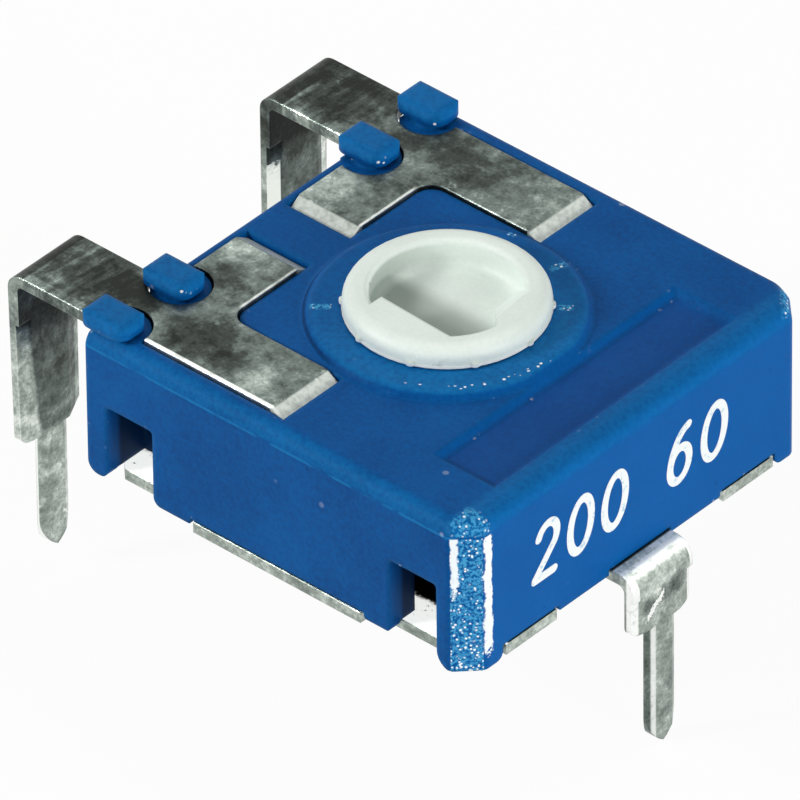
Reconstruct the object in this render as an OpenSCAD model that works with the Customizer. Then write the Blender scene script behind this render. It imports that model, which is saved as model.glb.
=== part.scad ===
// Single-turn carbon trimmer potentiometer, flat housing, three solder pins.
// X runs from the rear (outer terminals) to the front (middle terminal), Y from the left terminal to
// the right one, Z up. The origin is on the rotor's axis, in the plane of the housing's lower rim,
// which only the two front corner feet, the collector plate and the legs pass.

/* [Housing] */
// Length of the housing, rear to front
body_l = 13.4; // [12.9:0.1:15]
// Width of the housing, left to right
body_w = 13.6; // [13.6:0.1:15.5]
// Height of the flat top above the lower rim
body_h = 4.6; // [4.3:0.1:5.6]
// Thickness of the side walls
wall = 1; // [0.8:0.05:1.2]
// Thickness of the roof
roof = 1.4; // [1.2:0.05:1.6]
// Chamfer on the two front upright corners
corner_chamfer = 0.67; // [0.4:0.01:1]
// Radius of the top edge on the left, at the front and round the front corners
top_edge_r = 0.5; // [0.3:0.05:0.6]
// Radius of the top edge on the right
right_edge_r = 0.25; // [0.15:0.05:0.6]
// Radius of the top edge at the rear
rear_edge_r = 0.15; // [0.05:0.05:0.25]
// Radius of the raised collar round the rotor, at half its height
collar_r = 3.75; // [3.4:0.05:3.8]
// Height of the collar above the flat top
collar_h = 0.22; // [0.1:0.02:0.4]
// How far the collar's sloping side reaches in and out from that radius
collar_slope = 0.12; // [0.06:0.01:0.16]
// How far the two front corner feet reach below the rim
foot_drop = 0.25; // [0.15:0.01:0.3]

/* [Marking recess] */
// Size of the bare recess in the top along X
recess_l = 1.75; // [1:0.05:1.9]
// Size of the recess along Y
recess_w = 9.2; // [6:0.1:10]
// Distance from the front wall's face to the recess
recess_inset = 1; // [0.8:0.05:1.1]
// Depth of the recess
recess_depth = 0.2; // [0.05:0.01:0.3]
// Width of the recess's sloping walls, seen from above
recess_slope = 0.2; // [0.1:0.01:0.3]

/* [Windows and rim notches] */
// Height of the side windows
window_h = 2.4; // [1.5:0.1:2.5]
// Length of each side window along X
window_l = 1.65; // [1.2:0.05:1.9]
// Distance from the rear face to the rear windows
window_rear_inset = 0.68; // [0.5:0.01:0.8]
// Distance from the front face to the front windows
window_front_inset = 1.1; // [0.9:0.05:1.4]
// Length of the collector plate's side tabs along X
side_tab_l = 5.9; // [3:0.1:6]
// Width of the collector plate's two front tabs along Y
front_tab_w = 2; // [1.2:0.05:2.2]
// Distance of the front tabs' middle from the centre line
front_tab_y = 4.33; // [4.2:0.01:4.5]
// Gap at each end of a tab in its notch
tab_end_gap = 0.1; // [0.06:0.02:0.2]
// How far the tabs stand out of the walls
tab_proud = 0.02; // [0.01:0.01:0.2]

/* [Rotor] */
// Radius of the rotor's flange
flange_r = 2.78; // [2.6:0.02:3]
// Thickness of the flange
flange_t = 0.62; // [0.54:0.02:0.72]
// Edge radius on top of the flange
flange_edge_r = 0.4; // [0.3:0.02:0.44]
// Radius of the hub that turns in the housing
hub_r = 2.3; // [2.25:0.01:2.35]
// Radius of the setting pocket
pocket_r = 2.05; // [1.9:0.01:2.1]
// Depth of the setting pocket
pocket_depth = 0.83; // [0.7:0.01:0.9]
// Radius of the pocket's upper lip
lip_r = 0.2; // [0.1:0.02:0.24]
// Radius between the pocket's wall and its floor
pocket_fillet = 0.3; // [0.1:0.02:0.4]
// Distance of the pocket's driving flat from the axis
pocket_flat = 1.5; // [1.3:0.02:1.6]
// How far the lower rim's nibs stand out
nib_proud = 0.08; // [0.05:0.01:0.12]
// Number of nibs round the lower rim
nib_count = 10; // [6:1:14]
// Radius of the journal that turns in the collector plate
journal_r = 1.2; // [1:0.05:1.25]

/* [Turning range] */
// Angle from one stop to the other
turn_angle = 265; // [240:1:280]
// Angle that the rotor's stop key fills
key_angle = 30; // [24:1:36]

/* [Terminals] */
// Distance between the two outer pins
pin_pitch = 10; // [9.9:0.05:10.1]
// Thickness of the terminal sheet
sheet_t = 0.34; // [0.3:0.01:0.36]
// Width of the outer terminals' legs and tabs
leg_w = 2.43; // [2.3:0.01:2.6]
// How far the left leg stands behind the housing
tab_overhang = 3.2; // [2.6:0.1:4]
// How much further back the right leg stands
right_extra = 0.25; // [0:0.01:0.3]
// Outside radius of the outer legs' bend
leg_bend_r = 0.5; // [0.4:0.02:0.7]
// Width of the long arm
long_arm_w = 2.2; // [2:0.01:2.22]
// Reach of the long arm's end from the rear face
long_arm_reach = 6.45; // [5.8:0.05:6.7]
// Width of the short arm
short_arm_w = 2.17; // [2:0.01:2.25]
// Distance from the rear face to the short arm
short_arm_inset = 0.36; // [0.34:0.01:0.5]
// Distance of the short arm's end from the centre line
short_arm_end = 0.82; // [0.7:0.01:1.2]
// Length of the sloping nose at each arm's end
nose_l = 0.45; // [0.3:0.01:0.5]
// Height of the sloping nose
nose_h = 0.28; // [0.2:0.01:0.3]
// Radius between the two arms
arm_fillet = 0.55; // [0.3:0.05:0.7]
// Width of the tongues below the arms
tongue_w = 1; // [0.7:0.05:1.1]
// Width of the solder pins
pin_w = 1.14; // [0.9:0.02:1.2]
// Length of the pins' pointed ends
tip_l = 1; // [0.6:0.05:1.4]
// Depth of the coined bevels along legs and pins
coin = 0.13; // [0.04:0.01:0.15]
// Depth of the outer legs' shoulders below the lower rim
outer_shoulder = 1.05; // [0.9:0.05:1.7]
// Depth of the outer pins' tips below the lower rim
outer_tip = 5; // [4.2:0.05:5.8]

/* [Collector plate] */
// How far the plate's underside stands below the lower rim
plate_drop = 0.2; // [0.14:0.01:0.22]
// Width of the middle terminal
middle_w = 2.34; // [2.2:0.02:2.6]
// Distance of the middle leg's outer face from the front wall
middle_reach = 0.82; // [0.7:0.02:1]
// Outside radius of the middle leg's bend
middle_bend_r = 0.56; // [0.5:0.02:0.66]
// Depth of the middle leg's shoulders below the lower rim
middle_shoulder = 1.8; // [1.5:0.05:1.95]
// Depth of the middle pin's tip below the lower rim
middle_tip = 5.8; // [5.2:0.05:6.2]
// Radius of the middle of the plate's raised contact ring
ring_r = 3.45; // [3.3:0.05:3.6]
// Height of the contact ring above the plate
ring_h = 0.25; // [0.15:0.01:0.3]

/* [Stakes] */
// Length of the stakes' pillow-shaped heads along X
head_l = 1.6; // [1.4:0.02:1.7]
// Width of the heads along Y
head_w = 1.16; // [1:0.02:1.2]
// Height of the heads
head_h = 0.44; // [0.36:0.02:0.5]
// Radius of the stakes below their heads
stake_r = 0.46; // [0.4:0.01:0.5]
// Radius of the terminals' notches round the stakes
notch_r = 0.88; // [0.84:0.01:0.92]
// Width of the neck that is left between the two notches
neck_w = 0.6; // [0.5:0.02:0.7]
// Distance from the rear face to the stakes
stake_inset = 0.65; // [0.6:0.01:0.75]

/* [Element and wiper] */
// Thickness of the resistive element's board
element_t = 0.7; // [0.5:0.05:0.8]
// Gap between the element's edge and the walls
element_gap = 0.1; // [0.05:0.01:0.2]
// Thickness of the carbon layer
track_t = 0.05; // [0.04:0.01:0.08]
// Middle radius of the carbon track
track_r = 3.45; // [3.3:0.05:3.6]
// Width of the carbon track
track_w = 0.9; // [0.7:0.05:1]
// Thickness of the wiper's sheet
wiper_t = 0.18; // [0.12:0.01:0.2]
// Radius of the wiper's washer
washer_r = 2.55; // [2.5:0.05:2.65]
// Width of one contact finger
finger_w = 0.36; // [0.24:0.02:0.4]
// Gap between neighbouring fingers
finger_gap = 0.14; // [0.1:0.01:0.2]
// Radius of the rounded contact at each finger's end
contact_r = 0.2; // [0.14:0.01:0.24]

/* [Fits] */
// Clearance round the hub and the journal
running_fit = 0.05; // [0.02:0.01:0.08]
// Clearance round the terminals in their recesses
sheet_fit = 0.06; // [0.04:0.01:0.1]
// Clearance between faces that slide past each other
slide_gap = 0.04; // [0.02:0.01:0.08]

/* [Hidden] */
$fn = 64;
eps = 0.01;
sides = [-1, 1];

// Housing
rear_x = -body_l / 2;
front_x = body_l / 2;
side_y = body_w / 2;
inner_l = body_l - 2 * wall;
inner_w = body_w - 2 * wall;
ceiling_z = body_h - roof;
collar_z = body_h + collar_h;
corner_soften = 0.03;                   // depth of the small flats along the corner chamfers
window_corner_r = 0.12;
window_foot_r = 0.25;                   // rounding of the wall's feet beside the windows
corner_foot_r = 0.5;                    // and of the front corner feet
post_foot_r = 0.35;                     // and of the rear posts
small_foot_r = 0.1;
arc_step = 15;

// Rotor and its stops
bore_r = hub_r + running_fit;
flange_z = collar_z + slide_gap;
rotor_top = flange_z + flange_t;
groove_r = flange_r - 0.14;             // the stop groove ends under the flange
groove_depth = 0.4;
key_half = key_angle / 2;
lug_half = (360 - turn_angle) / 2 - key_half - 0.5;
flat_turn = -2.4;                       // the driving flat's turn from the X axis
flat_start = -0.95;                     // the flat's rear end
ramp_turn = 5;
ramp_run = 0.9;
ramp_end = pocket_r - 0.18;             // where the ramp reaches the rim
step_turn = 42;
step_x = pocket_r - 0.78;               // the step's distance from the axis
nib_r = 0.14;
nib_h = 0.12;
flash_z = flange_z + 0.02;
flash_h = 0.05;
flash_proud = 0.02;
spigot_r = 1.35;
spigot_flat = 1.1;
core_r = 0.6;

// Outer terminals
sheet_rise = 0.1;                       // their flat parts stand above the housing's top
sheet_top = body_h + sheet_rise;
seat_z = sheet_top - sheet_t;
tab_y = pin_pitch / 2;
leg_shift = 0.115;                      // the legs' middle lies further out than their pins
leg_in = leg_w / 2 - leg_shift;
leg_out = leg_w / 2 + leg_shift;
leg_taper = 0.1;
shoulder_drop = 0.35;                   // slope of the inner shoulders
leg_corner_r = 0.25;
arm_rear = rear_x + short_arm_inset;
arm_front = arm_rear + short_arm_w;
arm_end = rear_x + long_arm_reach;
long_arm_y = tab_y + 0.08;              // the long arm's middle line
nose_z = seat_z - 0.2;                  // lower edge of the turned-down noses
anchor_z = seat_z - 0.6;
foot_l = 0.7;                           // clinched end of the tongue
tongue_x = rear_x + wall + element_gap + 0.3 + tongue_w / 2;
slot_in_x = tongue_x + tongue_w / 2 + sheet_fit;
slot_out_x = tongue_x - tongue_w / 2 - sheet_fit;
slot_y0 = short_arm_end - sheet_fit;
slot_y1 = short_arm_end + sheet_t + sheet_fit;
coined_land = 0.5;                      // width of the coined bevels on the legs
pin_land = 0.22;                        // and on the pins
coin_start = 1.7;                       // where the legs' bevels start, below the sheet's top

// Stakes
stake_x = rear_x + stake_inset;
stake_mid_y = tab_y - 0.05;
stake_pitch = 2 * notch_r + neck_w;
head_shift = [-0.15, 0.1];              // the heads are pressed over to the rear and outwards
head_corner_r = 0.42;
head_edge_r = 0.28;
plug_z = sheet_top - 0.1;

// Collector plate
plate_z = -plate_drop;
plate_top = plate_z + sheet_t;
plate_l = body_l - wall;
plate_w = body_w - wall;
tab_h = plate_top + slide_gap;
plate_corner = 0.5;
ring_half = [0.5, 0.3];                 // the contact ring's half widths at its foot and its top

// Element, track and wiper
element_z = ceiling_z - element_t;
track_z = element_z - track_t;
element_hole_r = hub_r + 0.4;
element_corner_r = 0.4;
track_half = 140;                       // angle from the front to each end of the track
lead = track_half - 6;                  // angle where the lead-out starts
pad_margin = 0.15;                      // from the tongue's slot to the pad's edge
pad_in = norm([slot_in_x, slot_y0]) - pad_margin;
pad_out = norm([slot_out_x, slot_y1]) + pad_margin;
pad_end = atan2(slot_y0 - pad_margin, slot_out_x);
washer_z = (plate_top + track_z) / 2 + 0.1;
bead_r = 1.5;
bead_t = 0.2;

// ---- Shared shapes ----

// Side view of a block with rounded upper corners, reaching below the rim by the feet's depth
module arched_2d(w, h, r_low, r_high) {
    translate([-w / 2, -foot_drop]) square([w / 2 + eps, h + foot_drop - r_low]);
    translate([0, -foot_drop]) square([w / 2, h + foot_drop - r_high]);
    translate([-w / 2 + r_low, -foot_drop]) square([w - r_low - r_high, h + foot_drop]);
    translate([-w / 2 + r_low, h - r_low]) circle(r_low);
    translate([w / 2 - r_high, h - r_high]) circle(r_high);
}

// Rectangle with four round corners, centred
module rounded_2d(l, w, r) {
    square([l - 2 * r, w], center = true);
    square([l, w - 2 * r], center = true);
    for (sx = sides, sy = sides)
        translate([sx * (l / 2 - r), sy * (w / 2 - r)]) circle(r);
}

// Stands a drawing of the XZ plane up and gives it a thickness along Y, centred
module along_y(t) {
    rotate([90, 0, 0]) linear_extrude(t, center = true) children();
}

// Stands a drawing of the YZ plane up and gives it a thickness along X, centred
module along_x(t) {
    rotate([90, 0, 90]) linear_extrude(t, center = true) children();
}

// The child as drawn for s = 1, or its mirror image for s = -1
module on_side(s) {
    if (s > 0) children();
    else mirror([0, 1, 0]) children();
}

// Sector of a ring about the Z axis, from angle -half to half round the given direction
module ring_sector(r_in, r_out, z, h, direction, half) {
    rotate([0, 0, direction - half])
        rotate_extrude(angle = 2 * half)
            translate([r_in, z]) square([r_out - r_in, h]);
}

// ---- Housing ----

// Block that ends at distance d in the direction a, with the same rounded top edge
module slab(a, d) {
    long = 4 * (body_l + body_w);
    rotate([0, 0, a]) translate([d - long / 2, 0, 0])
        along_y(long) arched_2d(long, body_h, top_edge_r, top_edge_r);
}

// Outer block: the views crossed, with both front corners cut at 45 degrees and softened
module housing_block() {
    long = 4 * (body_l + body_w);
    side_cut = side_y - corner_chamfer;
    front_cut = front_x - corner_chamfer;
    corner_d = (front_x + side_cut) / sqrt(2);
    front_d = front_x * cos(22.5) + side_cut * sin(22.5) - corner_soften;
    side_d = front_cut * sin(22.5) + side_y * cos(22.5) - corner_soften;
    intersection() {
        along_x(long) arched_2d(body_w, body_h, top_edge_r, right_edge_r);
        along_y(long) arched_2d(body_l, body_h, rear_edge_r, top_edge_r);
        slab(45, corner_d);
        slab(-45, corner_d);
        slab(22.5, front_d);
        slab(-22.5, front_d);
        slab(67.5, side_d);
        slab(-67.5, side_d);
    }
}

// Raised collar with a soft sloping side
module collar() {
    rotate_extrude()
        polygon([[0, body_h - 0.3], [collar_r + collar_slope, body_h - 0.3],
                 [collar_r + collar_slope, body_h], [collar_r + collar_slope / 2, body_h + 0.2 * collar_h],
                 [collar_r - collar_slope / 2, body_h + 0.8 * collar_h],
                 [collar_r - collar_slope, collar_z - 0.01], [collar_r - 2 * collar_slope, collar_z],
                 [0, collar_z]]);
}

// Outline of one outer terminal's flat part on the positive Y side, grown by a clearance
module arms_2d(grow, tail) {
    long_in = long_arm_y - long_arm_w / 2;
    long_out = long_arm_y + long_arm_w / 2;
    difference() {
        union() {
            translate([rear_x - tail, tab_y - leg_in - grow])
                square([tail + stake_inset, leg_in + leg_out + 2 * grow]);
            translate([arm_rear, long_in - grow])
                square([arm_end - arm_rear + grow, long_out - long_in + 2 * grow]);
            translate([arm_rear - grow, short_arm_end - grow])
                square([short_arm_w + 2 * grow, tab_y - short_arm_end]);
            translate([arm_front - eps, long_in - arm_fillet])
                square([arm_fillet + eps, arm_fillet + eps]);
        }
        translate([arm_front + arm_fillet + grow, long_in - arm_fillet - grow]) circle(arm_fillet);
    }
}

// Holes for the nose and the tongue under each arm's end, on the positive Y side
module terminal_slots() {
    long_slot = sheet_t + 2 * sheet_fit;
    translate([arm_rear - sheet_fit, slot_y0, nose_z - sheet_fit])
        cube([short_arm_w + 2 * sheet_fit, slot_y1 - slot_y0, 1]);
    translate([slot_out_x, slot_y0, 0])
        cube([slot_in_x - slot_out_x, slot_y1 - slot_y0, body_h]);
    translate([arm_end - sheet_t - sheet_fit, long_arm_y - long_arm_w / 2 - sheet_fit,
               nose_z - sheet_fit])
        cube([long_slot, long_arm_w + 2 * sheet_fit, 1]);
    translate([arm_end - sheet_t - sheet_fit, long_arm_y - tongue_w / 2 - sheet_fit,
               anchor_z - sheet_fit])
        cube([long_slot, tongue_w + 2 * sheet_fit, 1]);
}

// One stake on the positive Y side: a plug in the terminal's notch and a pillow-shaped head
module stake(y) {
    head_z = sheet_top + slide_gap;
    translate([stake_x, y, seat_z - eps]) linear_extrude(plug_z - seat_z + eps) intersection() {
        circle(notch_r - sheet_fit);
        translate([0.02 - stake_inset, -2]) square([3, 2 + side_y - 0.4 - y]);
    }
    translate([stake_x, y, plug_z - eps]) cylinder(h = head_z - plug_z + 2 * eps, r = stake_r);
    translate([stake_x + head_shift[0], y + head_shift[1], head_z]) intersection() {
        linear_extrude(2 * head_h) rounded_2d(head_l, head_w, head_corner_r);
        along_y(2 * head_l) cushion_2d(head_l);
        along_x(2 * head_l) cushion_2d(head_w);
    }
}

// Side view of a stake's head, with well rounded upper edges
module cushion_2d(w) {
    r = head_edge_r;
    square_h = head_h - r;
    translate([-w / 2, 0]) square([w, square_h]);
    translate([r - w / 2, 0]) square([w - 2 * r, head_h]);
    for (s = sides) translate([s * (w / 2 - r), square_h]) circle(r, $fn = 32);
}

// Opening in a wall's lower rim, from u = 0 to u = l, with its feet rounded; low and high give
// each foot's radius and its depth below the rim
module opening_2d(l, h, low, high) {
    r0 = min(low[0], low[1] + h / 2);
    r1 = min(high[0], high[1] + h / 2);
    c = min(window_corner_r, h / 4);
    polygon(concat(
        [[-r0, -1]],
        [for (a = [0 : arc_step : 90]) [r0 * (sin(a) - 1), r0 * (1 - cos(a)) - low[1]]],
        [for (a = [0 : 2 * arc_step : 90]) [c * (1 - cos(a)), h - c * (1 - sin(a))]],
        [for (a = [90 : -2 * arc_step : 0]) [l - c * (1 - cos(a)), h - c * (1 - sin(a))]],
        [for (a = [90 : -arc_step : 0]) [l + r1 * (1 - sin(a)), r1 * (1 - cos(a)) - high[1]]],
        [[l + r1, -1]]));
}

// Everything that is open at the lower rim's edge, on the positive Y side
module side_openings() {
    translate([rear_x + window_rear_inset, side_y, 0]) along_y(3 * wall)
        opening_2d(window_l, window_h, [window_foot_r, 0], [window_foot_r, 0]);
    translate([front_x - window_front_inset - window_l, side_y, 0]) along_y(3 * wall)
        opening_2d(window_l, window_h, [small_foot_r, 0], [corner_foot_r, foot_drop]);
    translate([-side_tab_l / 2 - tab_end_gap, side_y, 0]) along_y(2 * wall)
        opening_2d(side_tab_l + 2 * tab_end_gap, tab_h, [small_foot_r, 0], [small_foot_r, 0]);
    translate([front_x, front_tab_y - front_tab_w / 2 - tab_end_gap, 0]) along_x(2 * wall)
        opening_2d(front_tab_w + 2 * tab_end_gap, tab_h, [small_foot_r, 0],
                   [window_foot_r, foot_drop]);
    // Rounded rear post
    translate([rear_x, side_y, 0]) along_y(4 * wall)
        polygon(concat([[-1, -1], [post_foot_r, -1]],
                       [for (a = [0 : arc_step : 90])
                           [post_foot_r * (1 - sin(a)), post_foot_r * (1 - cos(a))]],
                       [[-1, post_foot_r]]));
}

// Space below the rim, up to the two front corner feet
module below_rim_2d() {
    difference() {
        square([2 * body_l, 2 * body_w], center = true);
        for (s = sides) on_side(s)
            translate([front_x - window_front_inset - 0.1, front_tab_y + front_tab_w / 2])
                square([body_l, body_w]);
    }
}

// Marking recess: a shallow tray with sloping walls
module marking_recess() {
    translate([front_x - recess_inset - recess_l / 2, 0, body_h - recess_depth]) intersection() {
        along_y(2 * body_w) tray_2d(recess_l);
        along_x(2 * body_l) tray_2d(recess_w);
    }
}

module tray_2d(w) {
    polygon([[-w / 2, 0], [w / 2, 0], [w / 2 + 3 * recess_slope, 3 * recess_depth],
             [-w / 2 - 3 * recess_slope, 3 * recess_depth]]);
}

module housing() {
    color([0, 0.33, 0.64]) {
        difference() {
            union() {
                housing_block();
                collar();
            }
            translate([0, 0, -1]) linear_extrude(1) below_rim_2d();
            translate([0, 0, -1]) linear_extrude(ceiling_z + 1)
                square([inner_l, inner_w], center = true);
            translate([0, 0, -1]) linear_extrude(plate_top + 1)
                square([plate_l + 2 * sheet_fit, plate_w + 2 * sheet_fit], center = true);
            translate([front_x - wall, -middle_w / 2 - sheet_fit, -1])
                cube([2 * wall, middle_w + 2 * sheet_fit, tab_h + 1]);
            cylinder(h = collar_z + 1, r = bore_r);
            translate([0, 0, collar_z - groove_depth]) cylinder(h = 1, r = groove_r);
            marking_recess();
            for (s = sides) on_side(s) {
                side_openings();
                translate([0, 0, seat_z]) linear_extrude(1) arms_2d(sheet_fit, 1);
                terminal_slots();
            }
        }
        ring_sector(bore_r, groove_r + eps, collar_z - groove_depth - eps, groove_depth, 180, lug_half);
        for (s = sides) on_side(s) {
            stake(stake_mid_y - stake_pitch / 2);
            stake(stake_mid_y + stake_pitch / 2);
        }
    }
}

// ---- Rotor ----

// Profile of the pocket's round well: filleted floor, upright wall and soft upper lip
module well_2d() {
    translate([0, rotor_top - pocket_depth]) {
        square([pocket_r - pocket_fillet, pocket_depth]);
        translate([0, pocket_fillet]) square([pocket_r, pocket_depth + 1]);
        translate([pocket_r - pocket_fillet, pocket_fillet]) circle(pocket_fillet, $fn = 48);
    }
    translate([0, rotor_top + eps - lip_r]) difference() {
        square([pocket_r + lip_r, 1]);
        translate([pocket_r + lip_r, 0]) circle(lip_r, $fn = 48);
    }
}

// Setting pocket: the well with a driving flat and a ramp that points to the front
module pocket() {
    floor_z = rotor_top - pocket_depth;
    difference() {
        rotate_extrude() well_2d();
        rotate([0, 0, flat_turn]) translate([flat_start, -pocket_flat - 3, floor_z - 1])
            cube([6, 3, pocket_depth + 3]);
        // Ramp that rises to the rim beyond a slanting step
        intersection() {
            rotate([0, 0, ramp_turn]) translate([ramp_end - ramp_run, 0, floor_z])
                along_y(4 * pocket_r)
                    polygon([[-ramp_run / pocket_depth, -1], [2 * ramp_run, -1],
                             [2 * ramp_run, pocket_depth + 0.1],
                             [ramp_run * (1 + 0.1 / pocket_depth), pocket_depth + 0.1]]);
            rotate([0, 0, step_turn]) translate([step_x, -2 * pocket_r, floor_z - 0.5])
                cube([2 * pocket_r, 4 * pocket_r, pocket_depth + 2]);
        }
    }
}

module rotor() {
    color([0.87, 0.9, 0.85]) difference() {
        union() {
            rotate_extrude() {
                translate([0, flange_z]) square([flange_r, flange_t - flange_edge_r]);
                translate([0, flange_z]) square([flange_r - flange_edge_r, flange_t]);
                translate([flange_r - flange_edge_r, rotor_top - flange_edge_r]) intersection() {
                    circle(flange_edge_r, $fn = 48);
                    translate([-eps, -eps]) square(2 * flange_edge_r);
                }
            }
            translate([0, 0, flash_z]) cylinder(h = flash_h, r = flange_r + flash_proud);
            for (i = [0 : nib_count - 1])
                rotate([0, 0, (i + 0.08) * 360 / nib_count])
                    translate([flange_r + nib_proud - nib_r, 0, flash_z + eps])
                        cylinder(h = nib_h, r = nib_r, $fn = 24);
            translate([0, 0, washer_z + wiper_t]) cylinder(h = flange_z - washer_z, r = hub_r);
            ring_sector(hub_r - 0.1, groove_r - slide_gap, flange_z - groove_depth + slide_gap,
                        groove_depth, 0, key_half);
            spigot(washer_z - eps, wiper_t + 2 * eps, 0);
            translate([0, 0, washer_z - bead_t]) cylinder(h = bead_t, r = bead_r);
            translate([0, 0, plate_z]) cylinder(h = washer_z - plate_z, r = journal_r);
        }
        pocket();
        translate([0, 0, plate_z - eps]) cylinder(h = washer_z - plate_z + 1, r = core_r);
    }
}

// Part of the rotor that turns the wiper: round, with two flats
module spigot(z, h, grow) {
    intersection() {
        translate([0, 0, z]) cylinder(h = h, r = spigot_r + grow);
        translate([-2 * spigot_r, -spigot_flat - grow, z])
            cube([4 * spigot_r, 2 * (spigot_flat + grow), h]);
    }
}

// ---- Wiper ----

// Pair of sprung fingers from the washer to a contact at radius r and height z, pushing up or down
module fingers(direction, r, z, up) {
    root_r = washer_r - 0.15;
    root_z = washer_z + wiper_t / 2;
    end_z = z - up * contact_r;
    half_t = wiper_t / 2;
    rotate([0, 0, direction]) for (s = sides)
        translate([0, s * (finger_w + finger_gap) / 2, 0]) {
            along_y(finger_w) polygon([[root_r, root_z - half_t], [r, end_z - half_t],
                                       [r, end_z + half_t], [root_r, root_z + half_t]]);
            translate([r, 0, end_z]) rotate([90, 0, 0])
                cylinder(h = finger_w, r = contact_r, center = true, $fn = 32);
        }
}

module wiper() {
    ring_top = plate_top + ring_h;
    color([0.78, 0.58, 0.32]) {
        difference() {
            translate([0, 0, washer_z]) cylinder(h = wiper_t, r = washer_r);
            spigot(washer_z - 1, 3, running_fit / 2);
        }
        fingers(0, track_r, track_z - slide_gap / 2, 1);
        for (a = [120, 240]) fingers(a, ring_r, ring_top + slide_gap / 2, -1);
    }
}

// ---- Resistive element ----

module element() {
    color([0.45, 0.28, 0.16]) difference() {
        translate([0, 0, element_z]) linear_extrude(element_t) difference() {
            rounded_2d(inner_l - 2 * element_gap, inner_w - 2 * element_gap, element_corner_r);
            circle(element_hole_r);
        }
        for (s = sides) on_side(s) terminal_slots();
    }
}

// Part of a flat ring between two angles less than half a turn apart
module ring_2d(r_in, r_out, from, to) {
    reach = 2 * r_out / cos((to - from) / 2);
    intersection() {
        difference() {
            circle(r_out);
            circle(r_in);
        }
        polygon([[0, 0], reach * [cos(from), sin(from)], reach * [cos(to), sin(to)]]);
    }
}

// Half of the carbon arc with the pad that leads it to its terminal, on the positive Y side
module half_track_2d() {
    track_in = track_r - track_w / 2;
    track_out = track_r + track_w / 2;
    difference() {
        union() {
            ring_2d(track_in, track_out, -1, 90);
            ring_2d(track_in, track_out, 89, (lead + track_half) / 2);
            ring_2d(track_in, pad_out, lead, track_half);
            ring_2d(pad_in, pad_out, lead + 1, pad_end);
        }
        translate([slot_out_x, slot_y0]) square([slot_in_x - slot_out_x, slot_y1 - slot_y0]);
    }
}

// Carbon arc with a lead-out at each end, printed under the element
module carbon_track() {
    color([0.12, 0.12, 0.12]) translate([0, 0, track_z]) linear_extrude(track_t) {
        half_track_2d();
        mirror([0, 1]) half_track_2d();
    }
}

// ---- Terminals ----

// Front view of a leg with its pin: shoulders at z = -shoulder, point at z = -tip; the leg reaches
// from the pin's middle inwards and outwards by the given widths
module leg_2d(inner, outer, top, shoulder, tip, taper, slope) {
    r = leg_corner_r;
    point_r = (pow(tip_l, 2) + pow(pin_w / 2, 2)) / pin_w;
    difference() {
        union() {
            polygon([[-inner, top], [outer, top], [outer - taper, r - shoulder],
                     [-inner, r - shoulder]]);
            translate([r - inner, -shoulder]) square([inner + outer - taper - 2 * r, r + eps]);
            translate([r - inner, r - shoulder]) circle(r, $fn = 32);
            translate([outer - taper - r, r - shoulder]) circle(r, $fn = 32);
        }
        if (slope > 0)
            polygon([[-pin_w / 2, -shoulder], [-inner - eps, slope - shoulder],
                     [-inner - 1, slope - shoulder], [-inner - 1, -shoulder - 1],
                     [-pin_w / 2, -shoulder - 1]]);
    }
    translate([-pin_w / 2, tip_l - tip]) square([pin_w, tip - tip_l - shoulder + eps]);
    intersection() {
        point_flank(point_r, tip, 1);
        point_flank(point_r, tip, -1);
        translate([-pin_w, -tip]) square([2 * pin_w, tip_l]);
    }
}

// One flank of the pin's point: the disc whose edge runs from the pin's side to the tip
module point_flank(r, tip, s) {
    translate([s * (pin_w / 2 - r), tip_l - tip]) circle(r, $fn = 96);
}

// Plan section of a sheet strip, with its edges coined down on the given faces
module coined_2d(w, land, faces) {
    t = sheet_t / 2;
    c_front = faces[0] * coin;
    c_rear = faces[1] * coin;
    polygon([[t, land - w / 2], [t, w / 2 - land], [t - c_front, w / 2], [c_rear - t, w / 2],
             [-t, w / 2 - land], [-t, land - w / 2], [c_rear - t, -w / 2], [t - c_front, -w / 2]]);
}

// Upright leg and pin in the plane x = 0, from the given top down
module leg(inner, outer, top, coin_top, shoulder, tip, taper, slope) {
    w = inner + outer;
    intersection() {
        along_x(1) leg_2d(inner, outer, top, shoulder, tip, taper, slope);
        union() {
            translate([0, (outer - inner) / 2, coin_top]) linear_extrude(top - coin_top + eps)
                coined_2d(w, coined_land, [0, 0]);
            translate([0, (outer - inner) / 2, -shoulder - eps])
                linear_extrude(coin_top + shoulder + 2 * eps) coined_2d(w, coined_land, [1, 0]);
            translate([0, 0, -tip - 1]) linear_extrude(tip - shoulder + 1 + 2 * eps)
                coined_2d(pin_w, pin_land, [1, 1]);
        }
    }
}

// Quarter bend of the sheet: outer radius r, from flat (towards +X) to upright (down)
module bend(w, r) {
    along_y(w) intersection() {
        difference() {
            circle(r);
            circle(r - sheet_t);
        }
        translate([-2 * r, 0]) square([2 * r, 2 * r]);
    }
}

// Wedge that slopes an arm's end: its edge along X, cutting towards -Z and +Y
module nose_cut(w, x) {
    translate([x - 1, 0, 0]) rotate([90, 0, 90]) linear_extrude(w + 2)
        polygon([[-2 * nose_l, -3 * nose_h], [2 * nose_l, nose_h], [-2 * nose_l, nose_h]]);
}

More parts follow.
